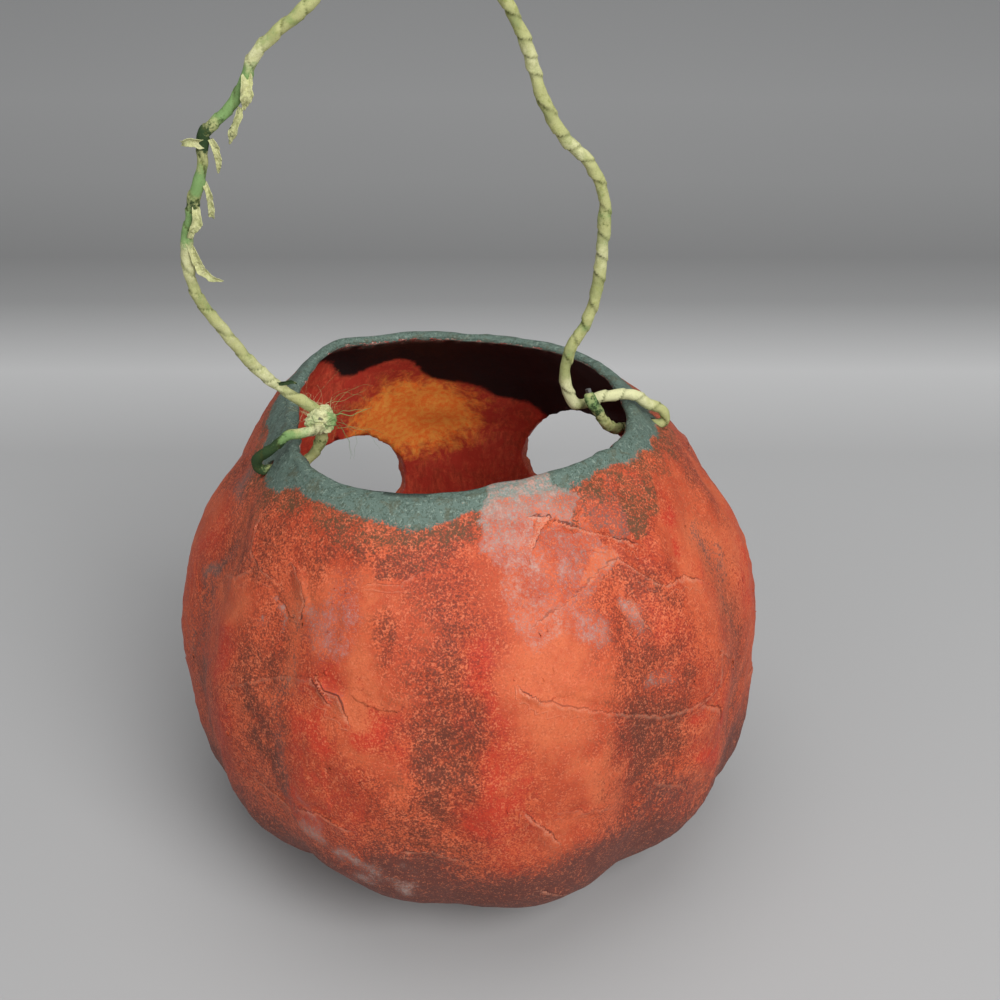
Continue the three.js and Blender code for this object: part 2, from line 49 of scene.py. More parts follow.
def only(*pieces):
    """Selects these pieces and nothing else, the first of them active."""
    bpy.ops.object.select_all(action="DESELECT")
    for piece in pieces:
        piece.select_set(True)
    if pieces:
        bpy.context.view_layer.objects.active = pieces[0]


@contextlib.contextmanager
def editing(action=None):
    """Opens the active piece for editing, with all or none of it selected first."""
    bpy.ops.object.mode_set(mode="EDIT")
    if action:
        bpy.ops.mesh.select_all(action=action)
    yield
    bpy.ops.object.mode_set(mode="OBJECT")


def joined(pieces):
    only(*pieces)
    bpy.ops.object.join()
    return bpy.context.object


def modified(piece, kind, **settings):
    """Gives a piece a modifier with these settings, and applies it."""
    only(piece)
    modifier = piece.modifiers.new(kind.lower(), kind)
    for key, value in settings.items():
        setattr(modifier, key, value)
    bpy.ops.object.modifier_apply(modifier=modifier.name)
    bpy.ops.object.shade_smooth()


def stored(piece, shares):
    """Keeps a number by each name for each point of a piece, for its material to read."""
    for name, share in shares.items():
        layer = piece.data.attributes.new(name, "FLOAT", "POINT")
        layer.data.foreach_set("value", share.astype(np.float32))


# Camera
# It looks down over the lantern's back, so the eyes show through the open top.
# The face itself looks away, toward the far side of the floor.

camera_place = (-5.7 * mm, 354.9 * mm, 328.1 * mm)
camera_dip = 31.9
lens_length = 54
film_width = 36
bpy.ops.object.camera_add(location=camera_place, rotation=(math.radians(90 - camera_dip), 0, math.pi))
camera = bpy.context.object
camera.data.lens = lens_length
camera.data.sensor_width = film_width
bpy.context.scene.camera = camera


# Paper body
# A pumpkin shell of many pasted layers of torn paper, about 4 mm thick and pressed thin
# at the cut rim. The face is cut out with a knife, and each side is holed for the bail.

body_radius = 83 * mm
equator = 66 * mm
rim_height = 134.2 * mm
crown_reach = 16.2 * mm
crown_fullness = 1.98
foot_reach = 1.2 * mm
foot_fullness = 2.75
wall = 4 * mm
rim_wall = 1.6 * mm
thinning_start = 100 * mm
lean = 3 * mm
grooves = [37, 75, 114, 141, 176, 216, 249, 285, 321, 358]
groove_depth = 3.2 * mm
groove_width = 9
grooves_start = 2 * mm
grooves_full = 23 * mm
grooves_fading = 106 * mm
unevenness = 0.6 * mm
girth_waves = [[2, 1.3, 150], [3, 1, 60]]
rim_outline_waves = [[1, 7, 62], [3, 3.7, 32], [4, 2.7, 52]]
rim_outline_start = 97 * mm
rim_level_waves = [[1, 1, 190], [2, 0.7, 20]]
foot_waves = [[2, 0.45, 95], [1, 0.12, 190], [4, 0.28, 184]]
# Where the rim was torn high: its bearing, the reach round it, and how high it stands
torn_bearing = 155
torn_reach = 32
torn_stand = 1.5 * mm
# The foot is smooth up to this height, so the lantern stands flat
smooth_foot = 8 * mm

# Dents: bearing, height in hundredths of the rim's, reach round and up, depth in unevennesses
dents = [
    (90, 88.7, 22, 6.7, 4), (290, 99, 24, 6, 4), (50, 100, 9, 9, -3), (66, 100, 9, 7.5, 1.7),
    (183, 100, 26, 6, -1.5), (250, 100, 14, 6, -1.5), (41, 100, 7, 8, -6.5),
]


def wave(bearing, terms):
    return sum(size * np.cos(np.radians(crests * (bearing - crest))) for crests, size, crest in terms)


def raised(shares, name, share):
    """Raises one of the shares to this one where it is less."""
    shares[name] = np.maximum(shares[name], share)


def rise(value, start, end):
    share = np.clip((value - start) / (end - start), 0, 1)
    return share * share * (3 - 2 * share)


def bearing_gap(a, b):
    return np.abs((a - b + 180) % 360 - 180)


def bell(away, reach):
    return np.exp(-((away / reach) ** 2))


def wall_at(height):
    return wall + (rim_wall - wall) * rise(height, thinning_start, rim_height)


def groove_share(bearing, height):
    fade = rise(height, grooves_start, grooves_full) * (1 - rise(height, grooves_fading, rim_height))
    return fade * sum(bell(bearing_gap(bearing, groove), groove_width) for groove in grooves)


def dent_at(bearing, height):
    hundredth = rim_height / 100
    return sum(depth * np.exp(-((bearing_gap(bearing, at) / round_it) ** 2)
                              - ((height / hundredth - level) / up_it) ** 2)
               for at, level, round_it, up_it, depth in dents)


def skin_radius(bearing, height, inset):
    above = height > equator
    reach = np.where(above, rim_height - equator + crown_reach, equator + foot_reach)
    fullness = np.where(above, crown_fullness, foot_fullness + wave(bearing, foot_waves))
    share = np.minimum(1, np.abs(height - equator) / (reach - inset))
    plain = (body_radius - inset) * (1 - share**fullness) ** (1 / fullness)
    girth = wave(bearing, girth_waves) * rise(height, 0, equator)
    mouth = wave(bearing, rim_outline_waves) * rise(height, rim_outline_start, rim_height)
    uneven = unevenness * (girth + mouth - dent_at(bearing, height))
    return plain + uneven - groove_depth * groove_share(bearing, height)


def unit(vectors):
    return vectors / np.linalg.norm(vectors, axis=1)[:, None]


def lumps(points, size, seed, waves=16):
    """Random soft swellings about one size across, from -1 to 1 for the most part."""
    rng = np.random.default_rng(seed)
    heading = unit(rng.normal(size=(waves, 3)))
    pitch = size * rng.uniform(1.3, 2.6, waves)
    turn = points @ (heading * (2 * np.pi / pitch)[:, None]).T + rng.uniform(0, 2 * np.pi, waves)
    return np.cos(turn).sum(axis=1) * math.sqrt(2 / waves) * 0.7


def ridged(points, size, seed):
    """Random crests with a sharp top, as crumpled paper has."""
    return 0.5 - np.abs(lumps(points, size, seed))


def rimmed(bearing, height):
    torn_high = torn_stand * bell(bearing_gap(bearing, torn_bearing), torn_reach)
    level_waves = unevenness * wave(bearing, rim_level_waves) + torn_high
    return height + level_waves * np.maximum(0, height / rim_height) ** 8


def smooth_place(bearing, height, radius):
    shift = lean * rise(height, 0, equator)
    around = np.radians(bearing)
    return np.stack([shift + radius * np.sin(around), -radius * np.cos(around), height], axis=1)


def on_skin(bearing, height, inset=0):
    return smooth_place(bearing, height, skin_radius(bearing, height, inset))


def skin_point(bearing, height, inset=0):
    return on_skin(np.array([float(bearing)]), np.array([height]), inset)[0]


# Creases of the paper: a path of (bearing, height in mm), how high it stands, how wide the slope
# on its right is, and how wide the slope on its left is. A sheet's edge is steep on one side.
creases = [
    [[(196, 113), (206.5, 116), (214, 118), (220, 118.5)], 0.35, 0.5, 4],
    [[(220, 118.5), (222, 116), (227, 110.5), (234.5, 109), (239, 105.5)], 0.6, 0.5, 3],
    [[(207, 128.5), (217, 124.5), (226, 120)], 0.65, 0.5, 4],
    [[(201, 130.4), (205.5, 129.8), (202, 128.5), (198, 125.5)], 0.7, 0.6, 1.2],
    [[(241, 82), (238, 86), (237, 78), (230, 77)], 0.5, 0.4, 3],
    [[(230, 77), (236, 70), (238, 62)], -0.5, 0.4, 0.7],
    [[(191, 100), (194, 97)], 1.0, 0.7, 1.6],
    [[(194, 97), (200, 94), (210, 87), (220, 80), (228, 78), (237, 78)], 0.4, 0.4, 2.5],
    [[(124, 122), (127, 117), (134, 115)], 0.6, 0.5, 4],
    [[(118, 105), (124, 109), (129, 114)], 0.3, 0.5, 3],
    [[(141, 119), (144, 117), (146, 113), (145, 109)], 0.7, 0.8, 1.5],
    [[(151, 97), (153, 95), (155, 93)], 0.8, 0.6, 0.9],
    [[(152, 98), (154, 96), (157, 96), (159, 91)], 0.7, 0.5, 1.2],
    [[(131, 84), (142, 93), (150, 97)], 0.25, 0.3, 0.6],
    [[(161, 122), (166, 122), (168, 123)], 0.4, 0.5, 2],
    [[(148, 57), (153, 60), (159, 58)], 0.5, 0.4, 3],
    [[(170, 53), (174, 54), (178, 50)], 0.7, 0.6, 3],
    [[(136, 57), (144, 55)], 0.4, 0.5, 3],
    [[(191, 66), (193, 63), (196, 56)], 0.6, 0.5, 2.5],
    [[(197, 65), (207, 61)], 0.25, 0.3, 1],
    [[(219, 59), (225, 53)], 0.3, 0.4, 1],
    [[(194, 35), (200, 28)], 0.8, 1, 3],
    [[(219, 107), (217, 111), (220, 104)], 0.5, 0.8, 0.9],
    [[(60, 118), (66, 112), (76, 110)], 0.5, 0.5, 3],
    [[(84, 60), (90, 57), (99, 60)], 0.5, 0.5, 3],
    [[(288, 112), (296, 108), (303, 110)], 0.5, 0.5, 3],
    [[(262, 55), (270, 51), (279, 54)], 0.5, 0.5, 3],
    [[(330, 60), (338, 66), (341, 75)], 0.5, 0.5, 3],
    [[(12, 92), (3, 95), (-6, 93)], 0.4, 0.5, 2.5],
]


def by_path(points, outward, path):
    """Distance to a path over the skin, with a minus on its left, and the share of the way."""
    around, level = np.array(path, float).T
    knots = on_skin(around, level * mm)
    nearest = np.full(len(points), np.inf)
    side = np.ones(len(points))
    along = np.zeros(len(points))
    for k in range(len(knots) - 1):
        run = knots[k + 1] - knots[k]
        share = np.clip((points - knots[k]) @ run / (run @ run), 0, 1)
        offset = points - knots[k] - share[:, None] * run
        distance = np.linalg.norm(offset, axis=1)
        closer = distance < nearest
        turn = np.sign((np.cross(outward, run) * offset).sum(axis=1))
        nearest = np.where(closer, distance, nearest)
        side = np.where(closer, turn, side)
        along = np.where(closer, (k + share) / (len(knots) - 1), along)
    return nearest * side, along


def skin_relief(bearing, height):
    """How far the hand-laid paper stands out from the smooth skin."""
    points = on_skin(bearing, height)
    outward = points * [1, 1, 0] / np.maximum(np.linalg.norm(points[:, :2], axis=1), mm)[:, None]
    swell = 0.45 * mm * lumps(points, 22 * mm, 3) + 0.16 * mm * lumps(points, 8 * mm, 4)
    crumple = 0.55 * mm * ridged(points, 11 * mm, 5) + 0.28 * mm * ridged(points, 5 * mm, 6)
    crumpled = 0.4 + 0.6 * rise(lumps(points, 40 * mm, 9), -0.6, 0.6)
    grain = 0.06 * mm * lumps(points, 2.2 * mm, 7)
    pasted = np.zeros(len(points))
    wander = 0.35 * mm * lumps(points, 2 * mm, 8)
    for path, stand, steep, easy in creases:
        distance, along = by_path(points, outward, path)
        distance = distance + wander
        slope = np.where(distance > 0, steep, easy) * mm
        ends = np.minimum(1, 6 * along * (1 - along) + 0.15)
        pasted += stand * mm * ends * bell(distance, slope)
    return swell + crumple * crumpled + grain + pasted


def inside_relief(bearing, height):
    points = on_skin(bearing, height, wall)
    return 0.6 * mm * lumps(points, 14 * mm, 11) + 0.5 * mm * ridged(points, 9 * mm, 12)


def skin_place(bearing, height):
    """A point of the hand-laid skin."""
    level = rimmed(bearing, height)
    radius = skin_radius(bearing, level, 0) + skin_relief(bearing, level) * rise(height, 0, smooth_foot)
    return smooth_place(bearing, level, radius)


def profile_heights(inset, low, high, count):
    """Heights at even steps along the wall's profile at one bearing."""
    samples, at_bearing = 900, 217.0
    heights = np.linspace(low, high, samples)
    radii = skin_radius(np.full(samples, at_bearing), heights, inset)
    along = np.concatenate([[0], np.cumsum(np.hypot(np.diff(radii), np.diff(heights)))])
    return np.interp(np.linspace(0, along[-1], count), along, heights)


def vertices_of(piece):
    places = np.empty(len(piece.data.vertices) * 3)
    piece.data.vertices.foreach_get("co", places)
    return places.reshape(-1, 3)


def move_vertices(piece, places):
    piece.data.vertices.foreach_set("co", np.ascontiguousarray(places, dtype=np.float32).ravel())
    piece.data.update()


# Points nearer than this are made one
weld_reach = 0.004 * mm


def laid_grid(name, across, along, laid, finer=None):
    """A grid whose points are laid in place by laid(u, v), with u and v from 0 to 1, and whose
    faces are cut finer where finer(u, v) says so."""
    only()
    bpy.ops.mesh.primitive_grid_add(x_subdivisions=across, y_subdivisions=along, size=1)
    piece = bpy.context.object
    piece.name = name
    piece.data.name = name
    if finer:
        centres = np.array([face.center[:2] for face in piece.data.polygons]) + 0.5
        chosen = finer(centres[:, 0], centres[:, 1])
        # The edges and points are let go first, so only the chosen faces are cut
        with editing("DESELECT"):
            pass
        piece.data.polygons.foreach_set("select", chosen)
        with editing():
            bpy.ops.mesh.subdivide(number_cuts=2)
    flat = vertices_of(piece) + 0.5
    move_vertices(piece, laid(flat[:, 0], flat[:, 1]))
    with editing("SELECT"):
        bpy.ops.mesh.remove_doubles(threshold=weld_reach)
        bpy.ops.mesh.normals_make_consistent(inside=False)
    bpy.ops.object.shade_smooth()
    return piece


base_shares = np.linspace(0, 1, 12, endpoint=False)
outer_heights = profile_heights(0, 0, rim_height, 112)
inner_heights = profile_heights(wall, wall, rim_height, 56)[::-1]
stations = np.array(
    [(share, 0, 0) for share in base_shares]
    + [(1, height, 0) for height in outer_heights]
    + [(1, height, wall_at(height)) for height in inner_heights]
    + [(share, wall, wall) for share in base_shares[::-1]]
)
last_outer = len(base_shares) + len(outer_heights) - 1
columns = 330
# Above this the inside takes over the outside's relief, up to the thin rim
lining_end = 110 * mm
# Faces this near a crease, and above this height, are cut finer
crease_reach = 2.2 * mm
crease_lowest = 20 * mm


def station_at(v):
    """How many stations along a point lies, and its share of the way out, height and inset."""
    step = v * (len(stations) - 1)
    return step, *[np.interp(step, np.arange(len(stations)), column) for column in stations.T]


def lay_body(u, v):
    bearing = 360 * u
    step, share, height, inset = station_at(v)
    level = rimmed(bearing, height)
    outer = rise(height, 0, smooth_foot) * skin_relief(bearing, level)
    inner = inside_relief(bearing, level) * (1 - rise(height, lining_end, rim_height))
    inner += skin_relief(bearing, level) * rise(height, lining_end, rim_height)
    relief = np.where(step <= last_outer, outer, inner)
    radius = share * (skin_radius(bearing, level, inset) + relief)
    return smooth_place(bearing, level, radius)


def near_creases(u, v):
    step, _, height, _ = station_at(v)
    points = on_skin(360 * u, height)
    close = np.zeros(len(u), bool)
    for path, _, _, _ in creases:
        distance, _ = by_path(points, points, path)
        close |= np.abs(distance) < crease_reach
    return close & (step < last_outer - 2) & (height > crease_lowest)


paper_body = laid_grid("paper_body", columns, len(stations) - 1, lay_body, near_creases)

eye_size = (45 * mm, 31.5 * mm)
# Bearing and height of the left and the right eye, and how far each leans in degrees
eyes = [(31, 75 * mm, -43), (-26.5, 83 * mm, 43)]
nose_size = (13 * mm, 12 * mm)
nose_level = 56 * mm
mouth_width = 74 * mm
mouth_opening = 13 * mm
mouth_sag = 15 * mm
mouth_level = 43 * mm
cut_reach = 24 * mm
bail_hole_width = 4.4 * mm
hole_drop = 6.4 * mm
left_hole_bearing = 109
right_hole_bearing = 277


def arc(start, pull, end, count):
    share = np.linspace(0, 1, count, endpoint=False)[:, None]
    start, pull, end = np.array(start), np.array(pull), np.array(end)
    return start * (1 - share) ** 2 + 2 * pull * share * (1 - share) + end * share**2


def oval(width, height, count, slant=0):
    turn = np.linspace(0, 2 * np.pi, count, endpoint=False)
    across, up = width / 2 * np.cos(turn), height / 2 * np.sin(turn)
    cosine, sine = math.cos(math.radians(slant)), math.sin(math.radians(slant))
    return np.stack([across * cosine - up * sine, across * sine + up * cosine], axis=1)


def nose_outline():
    across, up = nose_size[0] / 2, nose_size[1] / 2
    return np.concatenate([
        arc((-across, -up), (-across / 2, 0), (0, up), 16),
        arc((0, up), (across / 2, 0), (across, -up), 16),
        arc((across, -up), (0, -0.7 * up), (-across, -up), 16),
    ])


def grin_outline():
    across = mouth_width / 2
    return np.concatenate([
        arc((-across, 0), (0, -2 * mouth_sag - mouth_opening), (across, 0), 70),
        arc((across, 0), (0, -2 * mouth_sag + mouth_opening), (-across, 0), 70),
    ])


def knife_cut(outline, centre, heading, reach, ragged):
    """A solid of the paper that a knife takes out, pushed along a heading in short strokes."""
    strokes = 40
    bpy.ops.mesh.primitive_circle_add(vertices=len(outline), radius=1, fill_type="NGON")
    cut = bpy.context.object
    across = np.cross([0, 0, 1], heading)
    flat = centre + outline[:, :1] * across + outline[:, 1:] * [0, 0, 1]
    move_vertices(cut, flat - reach * np.array(heading))
    with editing("SELECT"):
        for _ in range(strokes):
            step = tuple(2 * reach / strokes * np.array(heading))
            bpy.ops.mesh.extrude_region_move(TRANSFORM_OT_translate={"value": step})
        bpy.ops.mesh.select_all(action="SELECT")
        bpy.ops.mesh.normals_make_consistent(inside=False)
    places = vertices_of(cut)
    offset = places - centre
    offset -= np.outer(offset @ heading, heading)
    offset /= np.maximum(np.linalg.norm(offset, axis=1), mm)[:, None]
    wander = ragged * (lumps(places, 4 * mm, 21) + 0.6 * lumps(places, 1.6 * mm, 22))
    move_vertices(cut, places + offset * wander[:, None])
    return cut


def heading_of(bearing):
    return np.array([-math.sin(math.radians(bearing)), math.cos(math.radians(bearing)), 0])


hole_level = rim_height - hole_drop
hole_bearings = (left_hole_bearing, right_hole_bearing)
left_hole, right_hole = [skin_point(bearing, hole_level) for bearing in hole_bearings]
span = (right_hole - left_hole) / np.linalg.norm(right_hole - left_hole)

# Openings of the face: outline, bearing, height, and how ragged the knife left the edge
face = [(oval(*eye_size, 90, slant), bearing, height, 0.35 * mm) for bearing, height, slant in eyes]
face += [(nose_outline(), 0, nose_level, 0.25 * mm), (grin_outline(), 0, mouth_level, 0.3 * mm)]
cuts = []
for outline, bearing, height, ragged in face:
    middle = skin_point(bearing, height, wall_at(height) / 2)
    cuts.append(knife_cut(outline, middle, heading_of(bearing), cut_reach, ragged))
cuts += [knife_cut(oval(bail_hole_width, bail_hole_width, 24), middle, span, 4 * wall, 0.1 * mm)
         for middle in (left_hole + wall * span, right_hole - wall * span)]
knife = joined(cuts)
modified(paper_body, "BOOLEAN", operation="DIFFERENCE", solver="MANIFOLD", object=knife)
bpy.data.objects.remove(knife)


# Paint of the body
# Thin tempera over bare paper: an orange coat, red and brown dry-brushed over it toward the
# grooves, the brown there partly painted shade, grey-green wiped down from the rim, and a
# mauve-brown bloom round the foot, darkened further as painted shade. A chalky haze that is
# partly a painted sheen, painted shadow lines and highlights along the creases, and a painted
# pool of light and painted shade inside.

# Dabs of the brush, the brown partly painted shade and the chalk partly painted sheen: (bearing,
# height in mm, half width in degrees, half height in mm, strength)
dabs = {
    "brown_and_shade": [
        (216, 78, 8, 24, 1.0), (218, 98, 6, 14, 0.45), (215, 33, 9, 10, 0.9), (210, 26, 10, 7, 0.5),
        (139, 90, 6, 13, 0.85), (141, 70, 5, 15, 0.9), (146, 84, 4, 8, 0.5), (133, 82, 5, 8, 0.45),
        (176, 106, 5, 16, 0.6), (176, 86, 6, 20, 0.9), (171, 52, 12, 8, 0.5), (130, 34, 14, 16, 0.7),
        (122, 60, 8, 22, 0.5), (173, 55, 6, 14, 0.75), (180, 66, 4, 12, 0.35), (150, 126, 8, 5, 0.55),
        (158, 126, 5, 8, 0.7), (133, 124, 5, 7, 0.6), (122, 124, 7, 6, 0.8), (168, 128, 6, 6, 0.6),
        (166, 122, 4, 6, 0.6), (226, 112, 5, 7, 0.6), (216, 110, 4, 9, 0.3), (249, 70, 6, 26, 0.6),
        (285, 78, 7, 26, 0.9), (321, 74, 7, 28, 0.85), (358, 40, 6, 22, 0.6), (37, 54, 7, 26, 0.8),
        (75, 76, 7, 28, 0.9), (114, 66, 6, 22, 0.7), (270, 122, 9, 8, 0.6), (300, 124, 8, 8, 0.6),
        (340, 122, 8, 9, 0.7), (12, 124, 9, 8, 0.6), (52, 122, 8, 9, 0.7), (90, 124, 8, 8, 0.6),
        (112, 124, 6, 8, 0.5),
    ],
    "red": [
        (241, 120, 5, 8, 1.0), (230, 116, 5, 6, 0.5), (183, 95, 5, 14, 0.9), (185, 72, 6, 16, 0.9),
        (187, 52, 6, 10, 0.6), (166, 90, 5, 7, 1.0), (128, 88, 6, 10, 0.8), (126, 66, 6, 12, 0.8),
        (233, 66, 5, 12, 0.9), (212, 74, 5, 16, 0.7), (153, 84, 4, 16, 0.9), (149, 60, 8, 8, 0.7),
        (153, 108, 4, 10, 0.5), (204, 118, 6, 6, 0.4), (225, 95, 4, 12, 0.6), (241, 100, 4, 14, 0.5),
        (198, 58, 7, 9, 0.4), (160, 60, 5, 10, 0.6), (118, 88, 4, 20, 0.5), (262, 92, 8, 20, 0.7),
        (298, 66, 8, 20, 0.8), (335, 96, 8, 16, 0.7), (350, 60, 8, 18, 0.6), (16, 104, 7, 14, 0.6),
        (50, 72, 8, 20, 0.8), (66, 98, 6, 16, 0.6), (94, 62, 7, 20, 0.8), (102, 96, 6, 16, 0.6),
    ],
    "pale": [
        (163, 100, 7, 14, 1.0), (164, 80, 5, 9, 0.6), (197, 97, 8, 16, 1.0), (203, 70, 6, 12, 0.9),
        (128, 102, 6, 10, 0.8), (137, 80, 4, 8, 0.5), (239, 110, 5, 14, 0.9), (250, 104, 9, 22, 1.0),
        (146, 109, 5, 12, 0.9), (208, 86, 5, 8, 0.5), (192, 117, 6, 8, 0.6), (120, 112, 6, 12, 0.6),
        (190, 80, 3, 10, 0.4), (194, 46, 8, 9, 0.6), (232, 50, 6, 10, 0.5), (270, 100, 9, 18, 0.8),
        (303, 92, 8, 18, 0.8), (338, 70, 7, 18, 0.7), (8, 84, 8, 20, 0.8), (56, 96, 8, 18, 0.8),
        (92, 90, 8, 18, 0.8), (262, 60, 6, 12, 0.5), (25, 58, 8, 12, 0.5), (310, 56, 8, 12, 0.5),
        (259, 100, 9, 20, 1.0), (119, 100, 5, 12, 0.8),
    ],
    # Chalky haze, partly a painted sheen on the shoulder
    "chalk_and_sheen": [
        (197, 112, 4, 7, 0.25), (219, 107, 2.5, 4, 0.45), (204, 117, 4, 3, 0.4), (159, 43, 3, 3, 0.5),
        (167, 42, 3, 3, 0.55), (139, 108, 1.2, 1.5, 0.8), (152, 52, 2, 7, 0.5), (152, 108, 5, 8, 0.3),
        (206, 113, 4, 6, 0.4), (20, 116, 6, 6, 0.3), (300, 112, 8, 6, 0.35), (80, 112, 8, 6, 0.35),
    ],
    "slate": [
        (111, 98, 3, 16, 1.0), (116, 78, 3, 14, 0.7), (250, 98, 2.5, 14, 0.6), (249, 80, 2.5, 12, 0.5),
        (104, 124, 8, 7, 0.9), (144, 70, 3, 18, 0.75), (145, 96, 2.5, 10, 0.5), (150, 48, 5, 8, 0.5),
        (280, 90, 3, 16, 0.5), (80, 92, 3, 18, 0.5), (326, 84, 3, 14, 0.4), (250, 50, 5, 14, 0.4),
    ],
}


# Patches with a clear edge: corners of (bearing, height in mm), and strength
patches = {
    # Chalky haze, partly a painted sheen on the shoulder
    "chalk_and_sheen": [
        ([(185, 131), (216, 126), (220, 118.5), (206.5, 114), (194, 107), (189, 118)], 0.24),
        ([(184, 131.5), (187, 123), (198, 121.6), (199.5, 123.6), (197.5, 126.2), (201, 130.4), (208, 128.2),
          (215, 128.9), (218.5, 131.5), (213.5, 134.5), (200, 136.5), (187, 136.5)], 0.4),
        ([(187, 138), (187, 132.5), (196, 131), (207, 131.5), (213, 133), (211, 136), (200, 138)], 0.5),
    ],
    "pale": [([(216, 123), (220, 118.5), (206.5, 116.5), (211.5, 120)], 1.0)],
    "slate": [([(211.5, 128.7), (219, 132), (231.5, 131.3), (229.5, 125.4), (225.5, 120.8),
                (217, 124.7)], 0.55)],
    "drips": [([(236.5, 131.5), (247.5, 128.5), (243, 124), (238, 121.5), (226.5, 120), (226, 123.4),
                (231, 128)], 0.7)],
    "brown_and_shade": [([(163.5, 131.6), (182, 131.8), (180.5, 127.6), (175, 125.5), (170.5, 124.2), (166, 122.7),
                (160, 122)], 0.6)],
}
# Where the grey-green ends on the outside, by bearing, with its height in mm
green_edge = [
    (0, 130), (60, 130), (95, 127), (112, 126.5), (118.5, 127.6), (125, 130.1), (129.5, 132.2),
    (134.5, 133.3), (146, 133.4), (158, 132.8), (164, 132), (171.5, 132), (176, 133), (183, 133.8),
    (190, 134.6), (202, 134.6), (214, 132.8), (221, 133.2), (238, 133), (249, 132.2), (258.5, 130.5),
    (277, 128.5), (300, 130), (360, 130),
]
# Where the painted shade of the inside begins, by bearing from -180 to 180, with its height in mm
painted_shade_edge = [(-105, 142), (-65, 122), (-45, 100), (-20, 98), (0, 110), (20, 121), (45, 127), (75, 142)]
# The painted pool of orange light on the inside: bearing and height in mm of its middle, and its reach in
# both
painted_light_middle = (16, 96)
painted_light_reach = (21, 20)
# The darker foot, a mauve-brown bloom and painted shade, fades between these heights
foot_shade_fade = (34 * mm, 64 * mm)


def within(bearing, height, corners):
    held = np.zeros(len(bearing), bool)
    for (from_bearing, low), (to_bearing, high) in zip(corners, corners[1:] + corners[:1]):
        if low != high:
            meets = from_bearing + (to_bearing - from_bearing) * (height / mm - low) / (high - low)
            held ^= ((low > height / mm) != (high > height / mm)) & (bearing < meets)
    return held


def painted(piece):
    """Gives each point of a piece the share of every wash that lies on it."""
    points = vertices_of(piece)
    height = points[:, 2]
    across, back = points[:, 0] - lean * rise(height, 0, equator), points[:, 1]
    bearing = np.degrees(np.arctan2(across, -back)) % 360
    radius = np.hypot(across, back)
    stray = 2 * lumps(points, 12 * mm, 37) + 1.6 * lumps(points, 5 * mm, 38)
    climb = 7 * lumps(points, 15 * mm, 39) + 4 * lumps(points, 6 * mm, 40)
    washes = {name: np.zeros(len(points)) for name in dabs}
    for name, strokes in dabs.items():
        for around, level, wide, tall, strength in strokes:
            away = (bearing_gap(bearing + stray, around) / wide) ** 2
            away += ((height / mm + climb - level) / tall) ** 2
            raised(washes, name, strength * np.exp(-0.7 * away))
    groove = groove_share(bearing, height)
    # Brown in the grooves, partly painted shade
    raised(washes, "brown_and_shade", 0.34 * groove * (1 + 0.6 * lumps(points, 16 * mm, 31)))
    # Darker toward the foot: a mauve-brown bloom, and painted shade of the underside
    washes["foot_bloom_and_shade"] = 1 - rise(height + 7 * mm * lumps(points, 14 * mm, 32), *foot_shade_fade)
    edge = np.interp(bearing, *zip(*green_edge)) * mm
    drip = 0.5 * mm * lumps(points, 5 * mm, 33) + 0.4 * mm * lumps(points, 2 * mm, 35)
    washes["rim"] = rise(height + drip, edge - 1.2 * mm, edge + 1.2 * mm)
    washes["drips"] = 0.7 * rise(height + 3 * drip + 2 * mm * groove, edge - 9 * mm, edge)
    wobble = 1.4 * lumps(points, 4 * mm, 36)
    for name, shapes in patches.items():
        for corners, strength in shapes:
            held = within(bearing + wobble, height + 0.5 * mm * wobble, corners)
            raised(washes, name, strength * held)
    outward = points * [1, 1, 0] / np.maximum(radius, mm)[:, None]
    # The seam is the distance in mm to the nearest crease, 3 at most, and seamed how strongly its painted
    # shadow line and painted highlight show
    seam = np.full(len(points), 3.0)
    washes["seamed"] = np.zeros(len(points))
    for path, stand, _, _ in creases:
        distance, _ = by_path(points, outward, path)
        distance = distance / mm + 0.35 * lumps(points, 2 * mm, 8)
        closer = np.abs(distance) < np.abs(seam)
        seam = np.where(closer, distance, seam)
        washes["seamed"] = np.where(closer, min(1, 1.5 * abs(stand)), washes["seamed"])
    washes["seam"] = seam
    skin = skin_radius(bearing, height, 0) + skin_relief(bearing, height) * rise(height, 0, smooth_foot)
    depth = skin - radius
    washes["chips"] = rise(depth, 1.7 * mm, 2.1 * mm) * rise(rim_height + mm - height, 0, 0.8 * mm)
    washes["inside"] = rise(depth, 0.5 * wall_at(height), 0.8 * wall_at(height))
    washes["inside"] *= rise(rim_height - height + 0.6 * mm * lumps(points, 2 * mm, 34), 1.2 * mm, 2.6 * mm)
    # A painted pool of light on the inside
    washes["painted_light"] = np.exp(-((bearing_gap(bearing, painted_light_middle[0]) / painted_light_reach[0]) ** 2)
                            - ((height / mm - painted_light_middle[1]) / painted_light_reach[1]) ** 2)
    # Painted shade on the inside, above its edge
    shaded = np.interp((bearing + 180) % 360 - 180, *zip(*painted_shade_edge)) * mm
    washes["painted_shade"] = rise(height + 2 * mm * lumps(points, 12 * mm, 45), shaded - 6 * mm, shaded + 4 * mm)
    stored(piece, washes)


def linear(colour):
    """A paint colour given as red, green and blue from 0 to 255, as light."""
    parts = np.array(colour) / 255
    light = np.where(parts <= 0.04045, parts / 12.92, ((parts + 0.055) / 1.055) ** 2.4)
    return (*light, 1.0)


